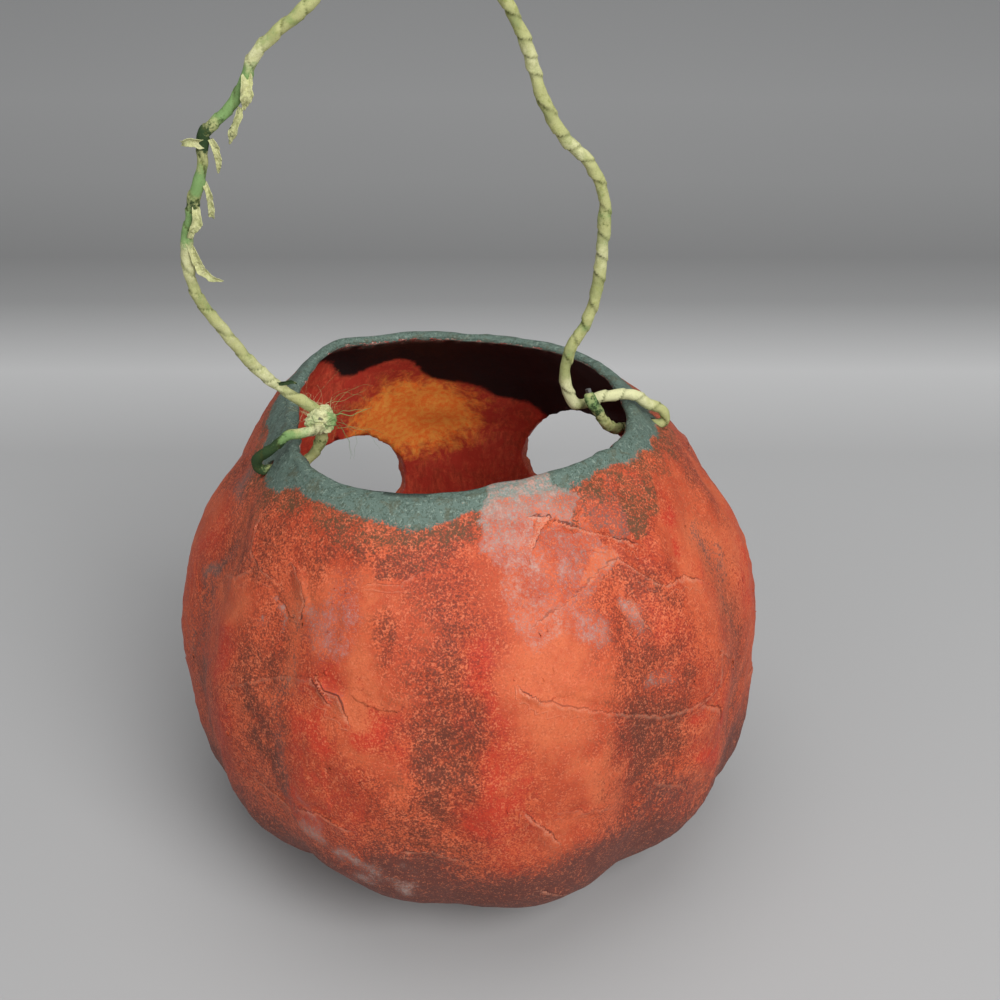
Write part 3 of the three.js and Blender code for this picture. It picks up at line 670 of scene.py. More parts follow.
class Finish:
    """A material while it is mixed. Its nodes take shares or plain numbers."""

    def __init__(self, name):
        self.material = bpy.data.materials.new(name)
        self.material.use_nodes = True
        self.nodes = self.material.node_tree.nodes
        self.links = self.material.node_tree.links
        self.shader = self.nodes["Principled BSDF"]

    def feed(self, socket, value):
        """Links a share to a socket, or sets a plain value there."""
        if isinstance(value, Share):
            self.links.new(value.socket, socket)
        else:
            socket.default_value = value

    def node(self, kind, settings, inputs, output=0):
        made = self.nodes.new(kind)
        for key, value in settings.items():
            if key == "stops":
                for stop, (at, colour) in enumerate(value):
                    spot = made.color_ramp.elements[stop] if stop < 2 else made.color_ramp.elements.new(at)
                    spot.position = at
                    spot.color = colour
            else:
                setattr(made, key, value)
        for key, value in inputs.items():
            self.feed(made.inputs[key], value)
        return Share(self, made.outputs[output])

    def wash(self, name):
        return self.node("ShaderNodeAttribute", {"attribute_name": name}, {}, "Fac")

    def place(self):
        return self.node("ShaderNodeTexCoord", {}, {}, "Object")

    def stretched(self, scale):
        return self.node("ShaderNodeMapping", {}, {"Vector": self.place(), "Scale": scale})

    def speckle(self, size, detail=3.0, rough=0.6, warp=0.0, over=None):
        inputs = {"Vector": over or self.place(), "Scale": 1 / size, "Detail": detail, "Roughness": rough}
        return self.node("ShaderNodeTexNoise", {}, {**inputs, "Distortion": warp})

    def over(self, share, below, above):
        """One colour laid over another by a share. Plain colours run from 0 to 255."""
        made = self.nodes.new("ShaderNodeMix")
        made.data_type = "RGBA"
        sockets = {socket.identifier: socket for socket in [*made.inputs, *made.outputs]}
        self.feed(sockets["Factor_Float"], share)
        for side, colour in (("A_Color", below), ("B_Color", above)):
            self.feed(sockets[side], colour if isinstance(colour, Share) else linear(colour))
        return Share(self, sockets["Result_Color"])

    def set(self, **values):
        for key, value in values.items():
            self.feed(self.shader.inputs[key.replace("_", " ")], value)

    def bump(self, relief, deep, strength=1.0):
        normal = self.node("ShaderNodeBump", {}, {"Height": relief, "Distance": deep, "Strength": strength})
        self.set(Normal=normal)


class Share:
    """A number or colour that varies over a surface, written as sums, products and steps."""

    def __init__(self, finish, socket):
        self.finish = finish
        self.socket = socket

    def maths(self, operation, first, second=0.0):
        return self.finish.node("ShaderNodeMath", {"operation": operation}, {0: first, 1: second})

    def __add__(self, other):
        return self.maths("ADD", self, other)

    def __radd__(self, other):
        return self.maths("ADD", other, self)

    def __sub__(self, other):
        return self.maths("SUBTRACT", self, other)

    def __rsub__(self, other):
        return self.maths("SUBTRACT", other, self)

    def __mul__(self, other):
        return self.maths("MULTIPLY", self, other)

    def __rmul__(self, other):
        return self.maths("MULTIPLY", other, self)

    def step(self, low, high):
        """0 below low and 1 above high, with a soft rise between."""
        return self.finish.node("ShaderNodeMapRange", {"interpolation_type": "SMOOTHSTEP"},
                                {"Value": self, "From Min": low, "From Max": high})


def tempera():
    """Paint by its washes, broken up by the tooth of the paper."""
    paint = Finish("tempera")
    over, wash = paint.over, paint.wash
    grit = paint.speckle(0.5 * mm, 2, 0.6)
    tooth = paint.speckle(0.8 * mm, 4, 0.75)
    fleck = paint.speckle(1.8 * mm, 7, 0.8, 0.3)
    sponge = paint.speckle(4.5 * mm, 8, 0.72, 0.5)
    patch = paint.speckle(13 * mm, 6, 0.6, 0.5)
    brushed = paint.speckle(1.1 * mm, 5, 0.7, 0.3, paint.stretched((1, 1, 0.25)))
    broken = 0.8 * grit + 0.7 * tooth + 0.6 * fleck + 0.7 * sponge + 0.5 * brushed - 1.65
    fine_grain = 0.5 * grit + 0.5 * tooth
    grain = 0.5 * grit + 0.5 * fleck

    def coat(name, cover, below, colour, ragged=1.2, soft=0.3):
        share = (wash(name) * cover + broken * ragged).step(0.5 - soft, 0.5 + soft)
        return over(share * wash(name).step(0.02, 0.2), below, colour)

    # The outside: orange, rubbed through to red-brown in its grain, then the washes over it
    colour = over(patch.step(0.42, 0.6), (182, 70, 36), (200, 88, 50))
    colour = over(brushed.step(0.5, 0.6) * 0.4, colour, (164, 56, 32))
    rubbed = (sponge + 0.5 * wash("brown_and_shade") + 0.25 * wash("red") - 0.3 * wash("pale")).step(0.44, 0.62)
    colour = over(fine_grain.step(0.47, 0.57) * (0.25 + 0.5 * rubbed), colour, (122, 42, 24))
    colour = coat("pale", 0.75, colour, (204, 100, 60), 1.5)
    colour = coat("red", 0.75, colour, (190, 52, 28), 1.3)
    colour = over(fine_grain.step(0.51, 0.58) * 0.3, colour, (136, 52, 32))
    colour = coat("slate", 0.75, colour, (122, 88, 78), 1.5)
    # Brown paint, partly painted shade in the grooves and low on the belly
    colour = coat("brown_and_shade", 0.8, colour, (100, 46, 30), 1.4, 0.42)
    colour = coat("drips", 0.8, colour, (96, 64, 40), 1.6, 0.35)
    # Mauve-brown bloom and painted shade round the foot
    colour = coat("foot_bloom_and_shade", 0.9, colour, (102, 52, 42), 1.3, 0.4)
    colour = over(grain.step(0.47, 0.41) * 0.42, colour, (222, 130, 92))

    # The grey-green of the rim, with dark and light grains and a little brown
    green = over(grain.step(0.5, 0.57) * 0.75, (92, 111, 101), (54, 69, 57))
    green = over((0.5 * tooth + 0.5 * brushed).step(0.465, 0.4) * 0.6, green, (142, 160, 148))
    green = over((sponge + 0.3 * fleck).step(0.66, 0.78) * 0.5, green, (86, 84, 62))
    colour = coat("rim", 1.0, colour, green, 1.2, 0.25)

    # Chalky haze that is partly a painted sheen, chips of bare paper, and the painted shadow line and
    # painted highlight on the lip of each crease
    chalk_and_sheen = over((0.5 * tooth + 0.5 * fleck).step(0.47, 0.54), (164, 160, 154), (188, 142, 128))
    colour = coat("chalk_and_sheen", 1.0, colour, chalk_and_sheen, 1.3, 0.45)
    chip = over(tooth.step(0.5, 0.55), (170, 54, 42), (226, 188, 172))
    colour = over((0.7 * wash("chips") + (fleck - 0.5) * 2.2).step(0.72, 0.8), colour, chip)
    seam = wash("seam")
    # A painted shadow line along each crease
    crease_shadow = seam.step(-0.1, 0.1) * (1 - seam.step(0.3, 0.55)) * wash("seamed")
    colour = over(crease_shadow * (0.35 + 0.65 * fleck.step(0.4, 0.5)) * 0.85, colour, (80, 32, 22))
    # A painted highlight on the lip beside it
    crease_highlight = seam.step(-1.5, -0.6) * (1 - seam.step(-0.3, -0.05)) * wash("seamed")
    colour = over(crease_highlight * grit.step(0.4, 0.55) * 0.5, colour, (222, 150, 120))

    # The inside: red, with a painted pool of orange light and painted shade above it
    lining = over(sponge.step(0.42, 0.6), (188, 58, 42), (222, 92, 62))
    lining = over((sponge + 0.6 * brushed).step(0.72, 0.95) * 0.6, lining, (132, 30, 22))
    lit = (wash("painted_light") + (sponge - 0.5) * 1.1).step(0.3, 0.7)
    lining = over(lit, lining, over(fleck.step(0.4, 0.6), (255, 170, 74), (255, 124, 46)))
    lining = over((wash("painted_shade") + (sponge - 0.5) * 0.8).step(0.35, 0.7), lining, (22, 5, 4))
    colour = over(wash("inside"), colour, lining)
    paint.set(Base_Color=colour, Roughness=0.5 + 0.25 * sponge, Specular_IOR_Level=0.35)
    paint.bump(0.35 * tooth + 0.35 * fleck + 0.3 * sponge, 0.6 * mm, 0.85)
    return paint.material


def finished(piece, material, body, slot, *nodes):
    piece.data.materials.clear()
    piece.data.materials.append(material)
    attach(piece, body)
    if nodes:
        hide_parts(*nodes)


painted(paper_body)
paint = tempera()
finished(paper_body, paint, "body", "shell_paint", "paper_shell")


# Rim fold
# A strip of torn paper folded over the cut edge and pasted down on both sides, painted
# with the same grey-green. Inside, chips of its edge have come off down to the bare paper.

fold_thick = 0.9 * mm
fold_crown = 1.25 * mm
fold_outside = 5.6 * mm
fold_inside = 3.4 * mm
# Shares of the way round the fold: the outside ends at one, and the inside begins at the other
outside_end = 0.4
inside_start = 0.62
fold_columns = 360
fold_rows = 26
fold_sheet = 0.4 * mm
# The fold stands no higher than this above the rim
fold_most = 2 * mm


def lay_rim(u, v):
    bearing = 360 * u
    about = smooth_place(bearing, np.full(len(u), rim_height), skin_radius(bearing, rim_height, 0))
    near_hole = np.maximum(*[bell(bearing_gap(bearing, hole), 6) for hole in hole_bearings])
    outer_edge = fold_outside + 0.9 * mm * lumps(about, 4 * mm, 41) - 2.2 * mm * near_hole
    inner_edge = fold_inside + 0.9 * mm * lumps(about, 2.2 * mm, 42) - 0.6 * mm * near_hole
    sides = [v < outside_end, v > inside_start]
    down = np.select(sides, [np.clip(1 - v / outside_end, 0, 1) ** 1.2 * outer_edge,
                             (v - inside_start) / (1 - inside_start) * inner_edge], 0)
    stand = fold_thick * np.select(sides, [rise(v, 0, 0.34), 1 - 0.45 * rise(v, 0.8, 1)], 1)
    stand -= 0.25 * mm * (1 - rise(v, 0, 0.1))
    turn = np.pi * np.clip((v - outside_end) / (inside_start - outside_end), 0, 1)
    swell = 1 + 0.22 * lumps(about, 6 * mm, 43) + 0.12 * lumps(about, 2.5 * mm, 44)
    half = rim_wall / 2 + stand * swell
    inset = np.select(sides, [-stand * swell, wall_at(rim_height - down) + stand * swell],
                      rim_wall / 2 - half * np.cos(turn))
    crown = np.select(sides, [0, 0], fold_crown * np.sin(turn) * (0.85 + 0.15 * swell))
    level = rimmed(bearing, rim_height - down)
    radius = skin_radius(bearing, level, 0) - inset + skin_relief(bearing, level)
    return smooth_place(bearing, np.minimum(level + crown, rim_height + fold_most), radius)


def thickened(piece, deep, offset=-1.0):
    modified(piece, "SOLIDIFY", thickness=deep, offset=offset, use_even_offset=False)


rim_fold = laid_grid("rim_fold", fold_columns, fold_rows, lay_rim)
thickened(rim_fold, fold_sheet)
painted(rim_fold)
finished(rim_fold, paint, "body", "rim_paint", "rim_binding")


# Pasted sheets
# The last layer of paper, torn by hand. Each sheet's top is pasted down flat and its lower
# edge stands a little proud, so the paint catches on it.

# Lower and upper edge of each sheet, by bearing and height in mm
sheets = {
    "sheet_shoulder_back": [
        [(194, 114), (201, 118), (213, 121), (220, 119)], [(194, 126), (207, 127.5), (221, 125)]],
    "sheet_shoulder_right": [
        [(224, 114), (232, 111), (240, 105), (247, 102)], [(224, 121), (236, 120), (247, 114)]],
    "sheet_right_back": [
        [(195, 97), (200, 94), (210, 87), (220, 80), (229, 78)], [(195, 111), (212, 112), (229, 105)]],
    "sheet_right_low": [
        [(222, 58), (234, 54), (246, 60)], [(222, 75), (234, 76), (246, 82)]],
    "sheet_shoulder_left": [
        [(123, 120), (127, 116), (134, 113), (147, 105)], [(123, 122), (135, 123), (147, 118)]],
    "sheet_middle_back": [
        [(152, 98), (160, 96), (172, 93), (190, 100)], [(152, 118), (171, 119), (190, 116)]],
    "sheet_left_low": [
        [(130, 60), (144, 55), (153, 59), (157, 60)], [(130, 83), (143, 91), (157, 90)]],
    "sheet_middle_low": [
        [(161, 58), (170, 53), (178, 51), (190, 61)], [(161, 84), (176, 82), (190, 80)]],
    "sheet_left_side": [
        [(80, 72), (96, 66), (112, 74)], [(80, 98), (96, 102), (112, 92)]],
    "sheet_right_side": [
        [(264, 70), (281, 64), (298, 72)], [(264, 92), (281, 101), (298, 98)]],
    "sheet_brow": [
        [(-8, 107), (2, 104), (12, 108)], [(-8, 119), (2, 121), (12, 118)]],
}
sheet_stand = 0.3 * mm
sheet_thick = 0.3 * mm
buried = 0.2 * mm
curled_up = 0.42 * mm


def pasted_sheet(name, lower, upper, seed):
    def edge(points, share):
        at = np.linspace(0, 1, len(points))
        bearing, height = [np.interp(share, at, column) for column in zip(*points)]
        return bearing, height * mm

    def lay(u, v):
        low_bearing, low_height = edge(lower, u)
        top_bearing, top_height = edge(upper, u)
        bearing = low_bearing + (top_bearing - low_bearing) * v
        height = low_height + (top_height - low_height) * v
        about = on_skin(bearing, height)
        side = np.minimum(u, 1 - u)
        torn = lumps(about, 3 * mm, seed) + 0.6 * lumps(about, 1.1 * mm, seed + 1)
        bearing = bearing + 0.6 * torn * (1 - rise(side, 0, 0.2)) * np.where(u < 0.5, -1, 1)
        height = height + 0.45 * mm * torn * ((1 - rise(v, 0, 0.25)) + (1 - rise(1 - v, 0, 0.25)))
        feather = rise(side, 0, 0.14) * rise(np.minimum(v, 1 - v), 0, 0.16)
        caught = rise(lumps(about, 10 * mm, seed + 2), 0.3, 0.7) * (1 - rise(v, 0, 0.1)) * rise(side, 0, 0.1)
        proud = (sheet_stand + buried) * feather - buried + curled_up * caught
        return skin_place(bearing, height) + smooth_place(bearing, 0 * height, proud) * [1, 1, 0]

    across = int(2.2 * bearing_gap(upper[0][0], upper[-1][0]))
    sheet = laid_grid("torn_" + name, across, int(1.3 * (upper[0][1] - lower[0][1]) + 24), lay)
    thickened(sheet, sheet_thick + sheet_stand)
    painted(sheet)
    finished(sheet, paint, "body", "shell_paint", name)


for seed, (name, (lower, upper)) in enumerate(sheets.items()):
    pasted_sheet(name, lower, upper, 50 + 3 * seed)


# Wire bail
# One length of steel wire, pushed through both holes, turned up outside, brought back over
# the rim and bent freehand into an arch. Only its two cut ends show past the tape.

# In millimetres: the tape's largest radius, the straight wire outside a hole and the turn
# after it, how far the rim's fold stands out, and how high the wire passes over a hole
tape_most = 1.74
turn_start = 0.7
turn_radius = 1.75
fold_skin = 1.04
over_rim = 10.49
# Stations of the wire: (in from a hole, above it, to the side) in millimetres
right_tip = [
    (20.8, 14.4, 3.6), (20.3, 12, 4.4), (18.9, 9.6, 4.6), (17.1, 6.4, 4.3), (15.2, 3.6, 3.3),
    (12.8, 1.4, 1.7), (9.2, 0.1, 0.2),
]
right_standing = [
    (16.4, 10.4, 0), (18.8, 9.5, 0), (21.3, 8.9, 0), (23.6, 9.5, 0), (25.2, 12.6, 0), (26.3, 17, 0),
    (26, 22, 0), (24.6, 27.1, 0), (22.2, 30.5, 0), (19.9, 36, 0), (18.3, 43, 0), (17.5, 52, 0),
    (17.1, 61, 0), (17.4, 66.5, 0), (19.2, 72, 0), (22.6, 77.3, 0), (27.4, 82, 0), (30.8, 87.2, 0),
    (34, 93.4, 0.3), (35.6, 99, 0.3), (37.6, 105, 0.4), (39.3, 109.2, 0.4), (43.6, 117.6, 0.8),
    (50.5, 128, 1),
]
left_standing = [
    (46, 134, 0.8), (34.5, 129.8, 0.4), (24, 121.6, 0), (16.5, 115.8, 0), (11.4, 112, 0), (6, 107.1, 0),
    (3.5, 101.8, 0), (0.6, 97, 0), (-4.1, 92.7, 0), (-6.9, 90.1, 0), (-7.6, 86.4, 0), (-8, 82.2, 0),
    (-10.1, 76.6, 0), (-12, 70.8, 0), (-13.5, 65, 0), (-13.9, 60.5, 0), (-13.3, 53.2, 0),
    (-11, 47.2, 0), (-6.9, 40.3, 0), (-2.6, 33.2, 0), (3, 25.9, 0), (10.1, 19.3, 0), (14.8, 14.8, 0),
    (15.9, 11.4, 0), (15.2, 8.4, 0), (14.2, 5.8, 0), (12.2, 2.7, 0), (8.6, 0.2, 0),
]
upward = np.array([0, 0, 1])
aside = np.cross(span, upward)


def placed(start, along, above, beside):
    """The place reached from a start along the span, up and to the side."""
    return start + along * span + above * upward + beside * aside


def from_left(stations_of, hole=left_hole, way=1):
    inward, above, side = np.array(stations_of, float).T[:3, :, None] * mm
    return placed(hole, way * inward, above, side)


def from_right(stations_of):
    return from_left(stations_of, right_hole, -1)


def rim_loop(hole, bearing):
    """The turns of wire outside a hole and back over the rim."""
    level = rimmed(np.array([float(bearing)]), np.array([rim_height]))[0]
    outside, inside = [abs((skin_point(bearing, level, inset) - hole) @ span) / mm
                       for inset in (-fold_skin * mm, rim_wall + fold_skin * mm)]
    turn = [
        (inside * 0.45, 0, 0), (0, 0, 0), (-turn_start, 0, 0),
        (-turn_start - 0.9 * turn_radius, 0.55 * turn_radius, 0),
        (-turn_start - 0.95 * turn_radius, 1.6 * turn_radius, 0),
        (-0.9 - 0.2 * turn_radius, 0.43 * over_rim, 0),
        (0.42 * outside, 0.64 * over_rim, 0), (outside + 1, 0.96 * over_rim, 0),
    ]
    return inside, turn


beside_wire = 2 * tape_most + 0.6
left_inside, left_turn = rim_loop(left_hole, left_hole_bearing)
right_inside, right_turn = rim_loop(right_hole, right_hole_bearing)
left_turn = [(inward, above + 0.45 * max(0, k - 4), 0.3 * beside_wire * max(0, k - 4))
             for k, (inward, above, _) in enumerate(left_turn)]
left_end = [(left_inside - 1, over_rim + 1.3, beside_wire), (left_inside + 1.8, over_rim + 2.2, beside_wire),
            (left_inside + 3.4, over_rim + 4.6, beside_wire)]
route = np.vstack([
    from_right(right_tip + right_turn + [(right_inside - 1, over_rim, 0)] + right_standing),
    from_left(left_standing + left_turn + left_end),
])


def bent(points, pitch):
    """Evenly spaced places along a smooth curve through the points, and their lengths along it."""
    points = np.vstack([2 * points[0] - points[1], points, 2 * points[-1] - points[-2]])
    reach = np.sqrt(np.linalg.norm(np.diff(points, axis=0), axis=1))[:, None]
    start, here, there, end = points[:-3], points[1:-2], points[2:-1], points[3:]
    before, during, after = reach[:-2], reach[1:-1], reach[2:]
    run = there - here
    leave = ((here - start) / before - (there - start) / (before + during)) * during + run
    arrive = ((end - there) / after - (end - here) / (during + after)) * during + run
    share = np.linspace(0, 1, 24, endpoint=False)[:, None, None]
    places = here + leave * share + (3 * run - 2 * leave - arrive) * share**2
    places = places + (leave + arrive - 2 * run) * share**3
    places = np.vstack([places.transpose(1, 0, 2).reshape(-1, 3), points[-2]])
    lengths = np.concatenate([[0], np.cumsum(np.linalg.norm(np.diff(places, axis=0), axis=1))])
    along = np.linspace(0, lengths[-1], max(4, round(lengths[-1] / pitch)) + 1)
    return np.stack([np.interp(along, lengths, column) for column in places.T], axis=1), along


def frames_along(places):
    """Two directions square to a curve at each place, that turn as little as they can."""
    tangents = unit(np.gradient(places, axis=0))
    across = np.empty_like(tangents)
    side = np.array([0, 1.0, 0.001])
    for k, tangent in enumerate(tangents):
        side = side - tangent * (side @ tangent)
        side /= np.linalg.norm(side)
        across[k] = side
    return across, np.cross(tangents, across)


def tube(name, places, sides, radius_at):
    """A tube along places; radius_at(turn, step) gives its radius, and it is closed where that is 0."""
    across, beside = frames_along(places)
    steps = len(places) - 1

    def lay(u, v):
        step = np.rint(v * steps).astype(int)
        radius = radius_at(u % 1.0, step)[:, None]
        turn = 2 * np.pi * u[:, None]
        return places[step] + radius * (np.cos(turn) * across[step] + np.sin(turn) * beside[step])

    return laid_grid(name, sides, steps, lay)


steel = Finish("steel")
steel.set(Base_Color=linear((150, 150, 146)), Metallic=1.0, Roughness=0.38)
wire_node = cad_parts["handle_wire"]
wire_node.data.materials.clear()
wire_node.data.materials.append(steel.material)


# Crepe tape round the wire
# A strip of stretchy crepe paper, wound over the wire so that each turn laps the last one.
# It was dyed unevenly, from cream through yellow-green to a mossy green. The darkest mossy
# green is partly painted shade, and a painted shadow runs along each lap's edge.

lap_pitch = 6.3 * mm
lap_height = 0.32 * mm
# Radius of the wound tape, and where it is thinner: start, end, and by how much, in mm
tape_radius = 1.36
thinner = [(225, 260, 0.12), (376, 386, 0.1)]
end_rounding = 0.9
tape_sides = 24
bail_places, bail_along = bent(route, 0.42 * mm)
bail_length = bail_along[-1]

# Dye on the tape: (middle of the stretch and half its length in mm from the right tip, strength)
dyes = {
    "green": [
        (4, 5, 0.7), (86, 12, 0.35), (123, 16, 0.4), (240, 14, 0.35), (264, 10, 1.0), (287, 5, 0.75),
        (298, 9, 0.6), (319, 9, 0.35), (399, 12, 0.9), (362, 5, 0.5), (184, 20, 0.3), (214, 12, 0.3),
    ],
    # Mossy dye, partly painted shade, most of all on the leg down to the left hole
    "moss_and_shade": [
        (4, 6, 0.6), (20, 8, 0.5), (76, 6, 0.35), (97, 5, 0.3), (118, 6, 0.4), (152, 8, 0.3),
        (277, 5, 0.9), (274, 11, 0.5), (293, 3, 0.6), (396, 11, 1.0), (333, 5, 0.3), (371, 5, 0.45),
    ],
    "cream": [
        (50, 12, 0.9), (67, 6, 0.8), (108, 8, 0.5), (138, 8, 0.5), (164, 8, 0.5), (254, 6, 0.6),
        (306, 9, 0.6), (329, 10, 0.4), (345, 10, 0.6), (412, 4, 0.9), (198, 9, 0.5), (229, 9, 0.5),
    ],
}


def lap_share(turn, along):
    """How far a place lies into its lap of the strip, from 0 to 1."""
    slack = 0.35 * lumps(np.stack([along, 0 * along, 0 * along], axis=1), 9 * mm, 61)
    turns = turn + along / lap_pitch + slack
    return turns - np.floor(turns)


def tape_radius_at(turn, step):
    along = bail_along[step]
    lap = 1 - lap_share(turn, along)
    around = 2 * np.pi * turn
    skin = np.stack([1.6 * mm * np.cos(around), 1.6 * mm * np.sin(around), along], axis=1)
    thick = tape_radius
    for start, end, less in thinner:
        thick = thick - less * rise(along, start * mm, end * mm)
    thick = thick - 0.1 * bell(along - 20 * mm, 14 * mm)
    thick += 0.1 * lumps(skin * [0, 0, 1], 5 * mm, 62) + 0.1 * lumps(skin, 2.6 * mm, 63)
    pleats = 0.05 * lumps(skin * [1, 1, 0.35], 0.55 * mm, 64)
    ends = np.minimum(along, bail_length - along) / mm
    from_end = np.clip(ends / end_rounding, 0, 1)
    return (thick + lap_height / mm * lap + pleats) * np.sqrt(from_end * (2 - from_end)) * mm


def dyed(piece, along, lap_shadow_share):
    """Gives each point of the crepe its shares of dye from its length along the wire, and its painted lap
    shadow.
    """
    shares = {name: np.zeros(len(along)) for name in dyes}
    for name, stretches in dyes.items():
        for middle, half, strength in stretches:
            raised(shares, name, strength * bell(along / mm - middle, half))
    stored(piece, {**shares, "edge": lap_shadow_share})


def crepe():
    """Crepe by its dyes, blotched where they ran, with a painted shadow along each lap's edge."""
    paper = Finish("crepe_paper")
    over, wash = paper.over, paper.wash
    fine = paper.speckle(0.35 * mm, 3, 0.7)
    mottle = paper.speckle(1.6 * mm, 5, 0.7, 0.3)
    blotch = paper.speckle(6 * mm, 3, 0.6)
    colour = over(blotch.step(0.4, 0.6), (177, 178, 122), (155, 160, 106))
    colour = over(mottle.step(0.5, 0.64) * 0.7, colour, (146, 150, 84))
    colour = over((wash("cream") + (mottle - 0.5) * 1.2).step(0.2, 0.8), colour, (208, 207, 160))
    green = (wash("green") + (blotch - 0.5) * 1.2 + (fine - 0.5) * 0.4).step(0.3, 0.7)
    colour = over(green, colour, (120, 152, 94))
    # Darkest mossy green, partly painted shade
    colour = over((wash("moss_and_shade") + (mottle - 0.5) * 1.4).step(0.42, 0.72), colour, (46, 66, 38))
    colour = over(fine.step(0.56, 0.72) * 0.5, colour, (96, 102, 50))
    # Painted shadow line along the edge of each lap
    colour = over(wash("edge") * (0.35 + 0.65 * mottle.step(0.42, 0.58)) * 0.9, colour, (74, 80, 38))
    paper.set(Base_Color=colour, Roughness=0.85, Specular_IOR_Level=0.2)
    paper.bump(0.6 * fine + 0.4 * mottle, 0.25 * mm, 0.9)
    return paper.material


crepe_paper = crepe()
tape = tube("wound_tape", bail_places, tape_sides, tape_radius_at)
nearest = np.array([np.argmin(((bail_places - place) ** 2).sum(axis=1)) for place in vertices_of(tape)])
offset = vertices_of(tape) - bail_places[nearest]
across, beside = [(offset * way[nearest]).sum(axis=1) for way in frames_along(bail_places)]
turn = np.arctan2(beside, across) / (2 * np.pi) % 1.0
along = bail_along[nearest]
# The painted shadow line of a lap reaches this share of a turn from its edge
lap_shade = 0.12
dyed(tape, along, bell(1 - lap_share(turn, along), lap_shade))
finished(tape, crepe_paper, "bail", "crepe_tape", "handle_tape")


# Loose ends of the tape
# Where a strip ran out it was only pressed down, so ends have sprung loose, curled and torn.

# How green each strip is and how dark with moss and painted shade, and its stations: (in from
# the left hole, above it, to the side, width) in millimetres
loose_ends = {
    "tape_end_kink": (0.1, 0.15, [
        (-7.2, 88.2, 0.8, 3.4), (-9, 88.6, 1.3, 3.2), (-10.8, 89.1, 1.5, 2.6), (-12.7, 88.5, 0.6, 2.0)]),
    "tape_flap_upper": (0.1, 0.1, [
        (3.8, 103, 1.2, 2.6), (3.7, 101, 2.2, 4.2), (3.4, 98.8, 2.2, 4.0), (2.9, 96.9, 1.7, 2.6),
        (2.5, 95.4, 1.0, 1.0)]),
    "tape_flap_lower": (0.1, 0.35, [
        (1.9, 95.8, 1.2, 1.8), (0.9, 93.6, 1.8, 2.6), (-0.3, 91.2, 1.8, 2.6), (-1.1, 88.2, 1.0, 0.8)]),
    "tape_flap_curl": (0.1, 0.3, [
        (-5.6, 89, 1.2, 1.8), (-4.7, 87, 1.7, 2.8), (-4.4, 84.8, 1.4, 2.0), (-4.4, 81.4, 0.5, 0.7)]),
    "tape_strip_hanging": (0.05, 0.1, [
        (-8.0, 79, 1.2, 1.4), (-7.3, 76.4, 1.5, 1.9), (-7.1, 73.4, 1.2, 1.9), (-7.1, 70.4, 0.6, 2.0)]),
    "tape_fold_front": (0.25, 0.1, [
        (-10.6, 73.2, 1.8, 2.0), (-10.6, 71, 2.4, 3.4), (-11.6, 68.8, 2.4, 3.2), (-12.7, 66.3, 1.7, 1.4)]),
    "tape_flap_big": (0.0, 0.05, [
        (-13.6, 65.4, 1.4, 1.6), (-12.3, 62, 1.4, 2.6), (-11.1, 58.4, 1.4, 3.2), (-9, 55.7, 1.3, 2.6),
        (-6.2, 53.9, 0.6, 0.6)]),
    "tape_nib_low": (0.0, 0.7, [
        (4.4, 25.0, 0.8, 1.4), (6.2, 25.3, 1.0, 1.5), (8.2, 25.0, 0.6, 1.3), (9.9, 24.0, 0.1, 0.7)]),
}
crepe_thick = 0.13 * mm
strip_pitch = 0.22 * mm
strip_columns = 14
# A strip is this much narrower where it has shrunk and curled
shrunk = 0.8


def loose_strip(name, points, green, moss_and_shade, seed):
    """A curled, torn strip of crepe along points from the left hole."""
    points = np.array(points, float)
    points[0, 2] *= 0.5
    line, _ = bent(from_left(points), strip_pitch)
    share = np.linspace(0, 1, len(line))
    width = shrunk * np.interp(share, np.linspace(0, 1, len(points)), points[:, 3]) * mm
    tangent = np.gradient(line, axis=0)
    flat_across = unit(np.cross(tangent, aside))
    facing = unit(np.cross(flat_across, tangent))
    facing *= np.sign(facing @ aside)[:, None]
    steps = len(line) - 1

    def lay(u, v):
        step = np.rint(v * steps).astype(int)
        about = line[step] + (u - 0.5)[:, None] * width[step][:, None] * flat_across[step]
        torn = 0.86 + 0.16 * lumps(about, 2.2 * mm, seed) + 0.05 * lumps(about, 0.7 * mm, seed + 1)
        off = (u - 0.5) * width[step] * torn
        curl = 1.8 * off**2 / np.maximum(width[step], mm) + 0.3 * mm * lumps(about, 1.5 * mm, seed + 1)
        curl += 0.12 * mm * lumps(about, 0.5 * mm, seed + 2)
        slip = 0.5 * mm * lumps(about, 0.8 * mm, seed + 3) * rise(v, 0.85, 1)
        flat = line[step] + off[:, None] * flat_across[step]
        return flat + curl[:, None] * facing[step] + slip[:, None] * unit(tangent[step])

    strip = laid_grid(name, strip_columns, steps, lay)
    thickened(strip, crepe_thick, 0.0)
    amounts = {"green": green, "moss_and_shade": moss_and_shade + 0.12, "cream": 0.5, "edge": 0.0}
    count = len(strip.data.vertices)
    stored(strip, {dye: np.full(count, amount) for dye, amount in amounts.items()})
    return strip


for seed, (node, (green, moss_and_shade, points)) in enumerate(loose_ends.items()):
    strip = loose_strip("loose_" + node, points, green, moss_and_shade, 70 + 4 * seed)
    finished(strip, crepe_paper, "bail", "crepe_tape", node)


# Left knot
# Crepe wound in a lump round the short end of the wire and the standing part, to hold the two
# together. Its torn ends fray into soft tufts and a few long fibres.

knot_centre = from_left([(left_inside + 3.6, over_rim + 3.7, 0.5 * beside_wire)])[0]
knot_size = np.array([3.7, 3.1, 3.6]) * mm
# Hairs of the torn ends: how many, their length and radius in mm, and how short they are below
hair_count = 130
hair_length = (0.8, 3.4)
hair_radius = (0.02, 0.04)
short_below = 0.3


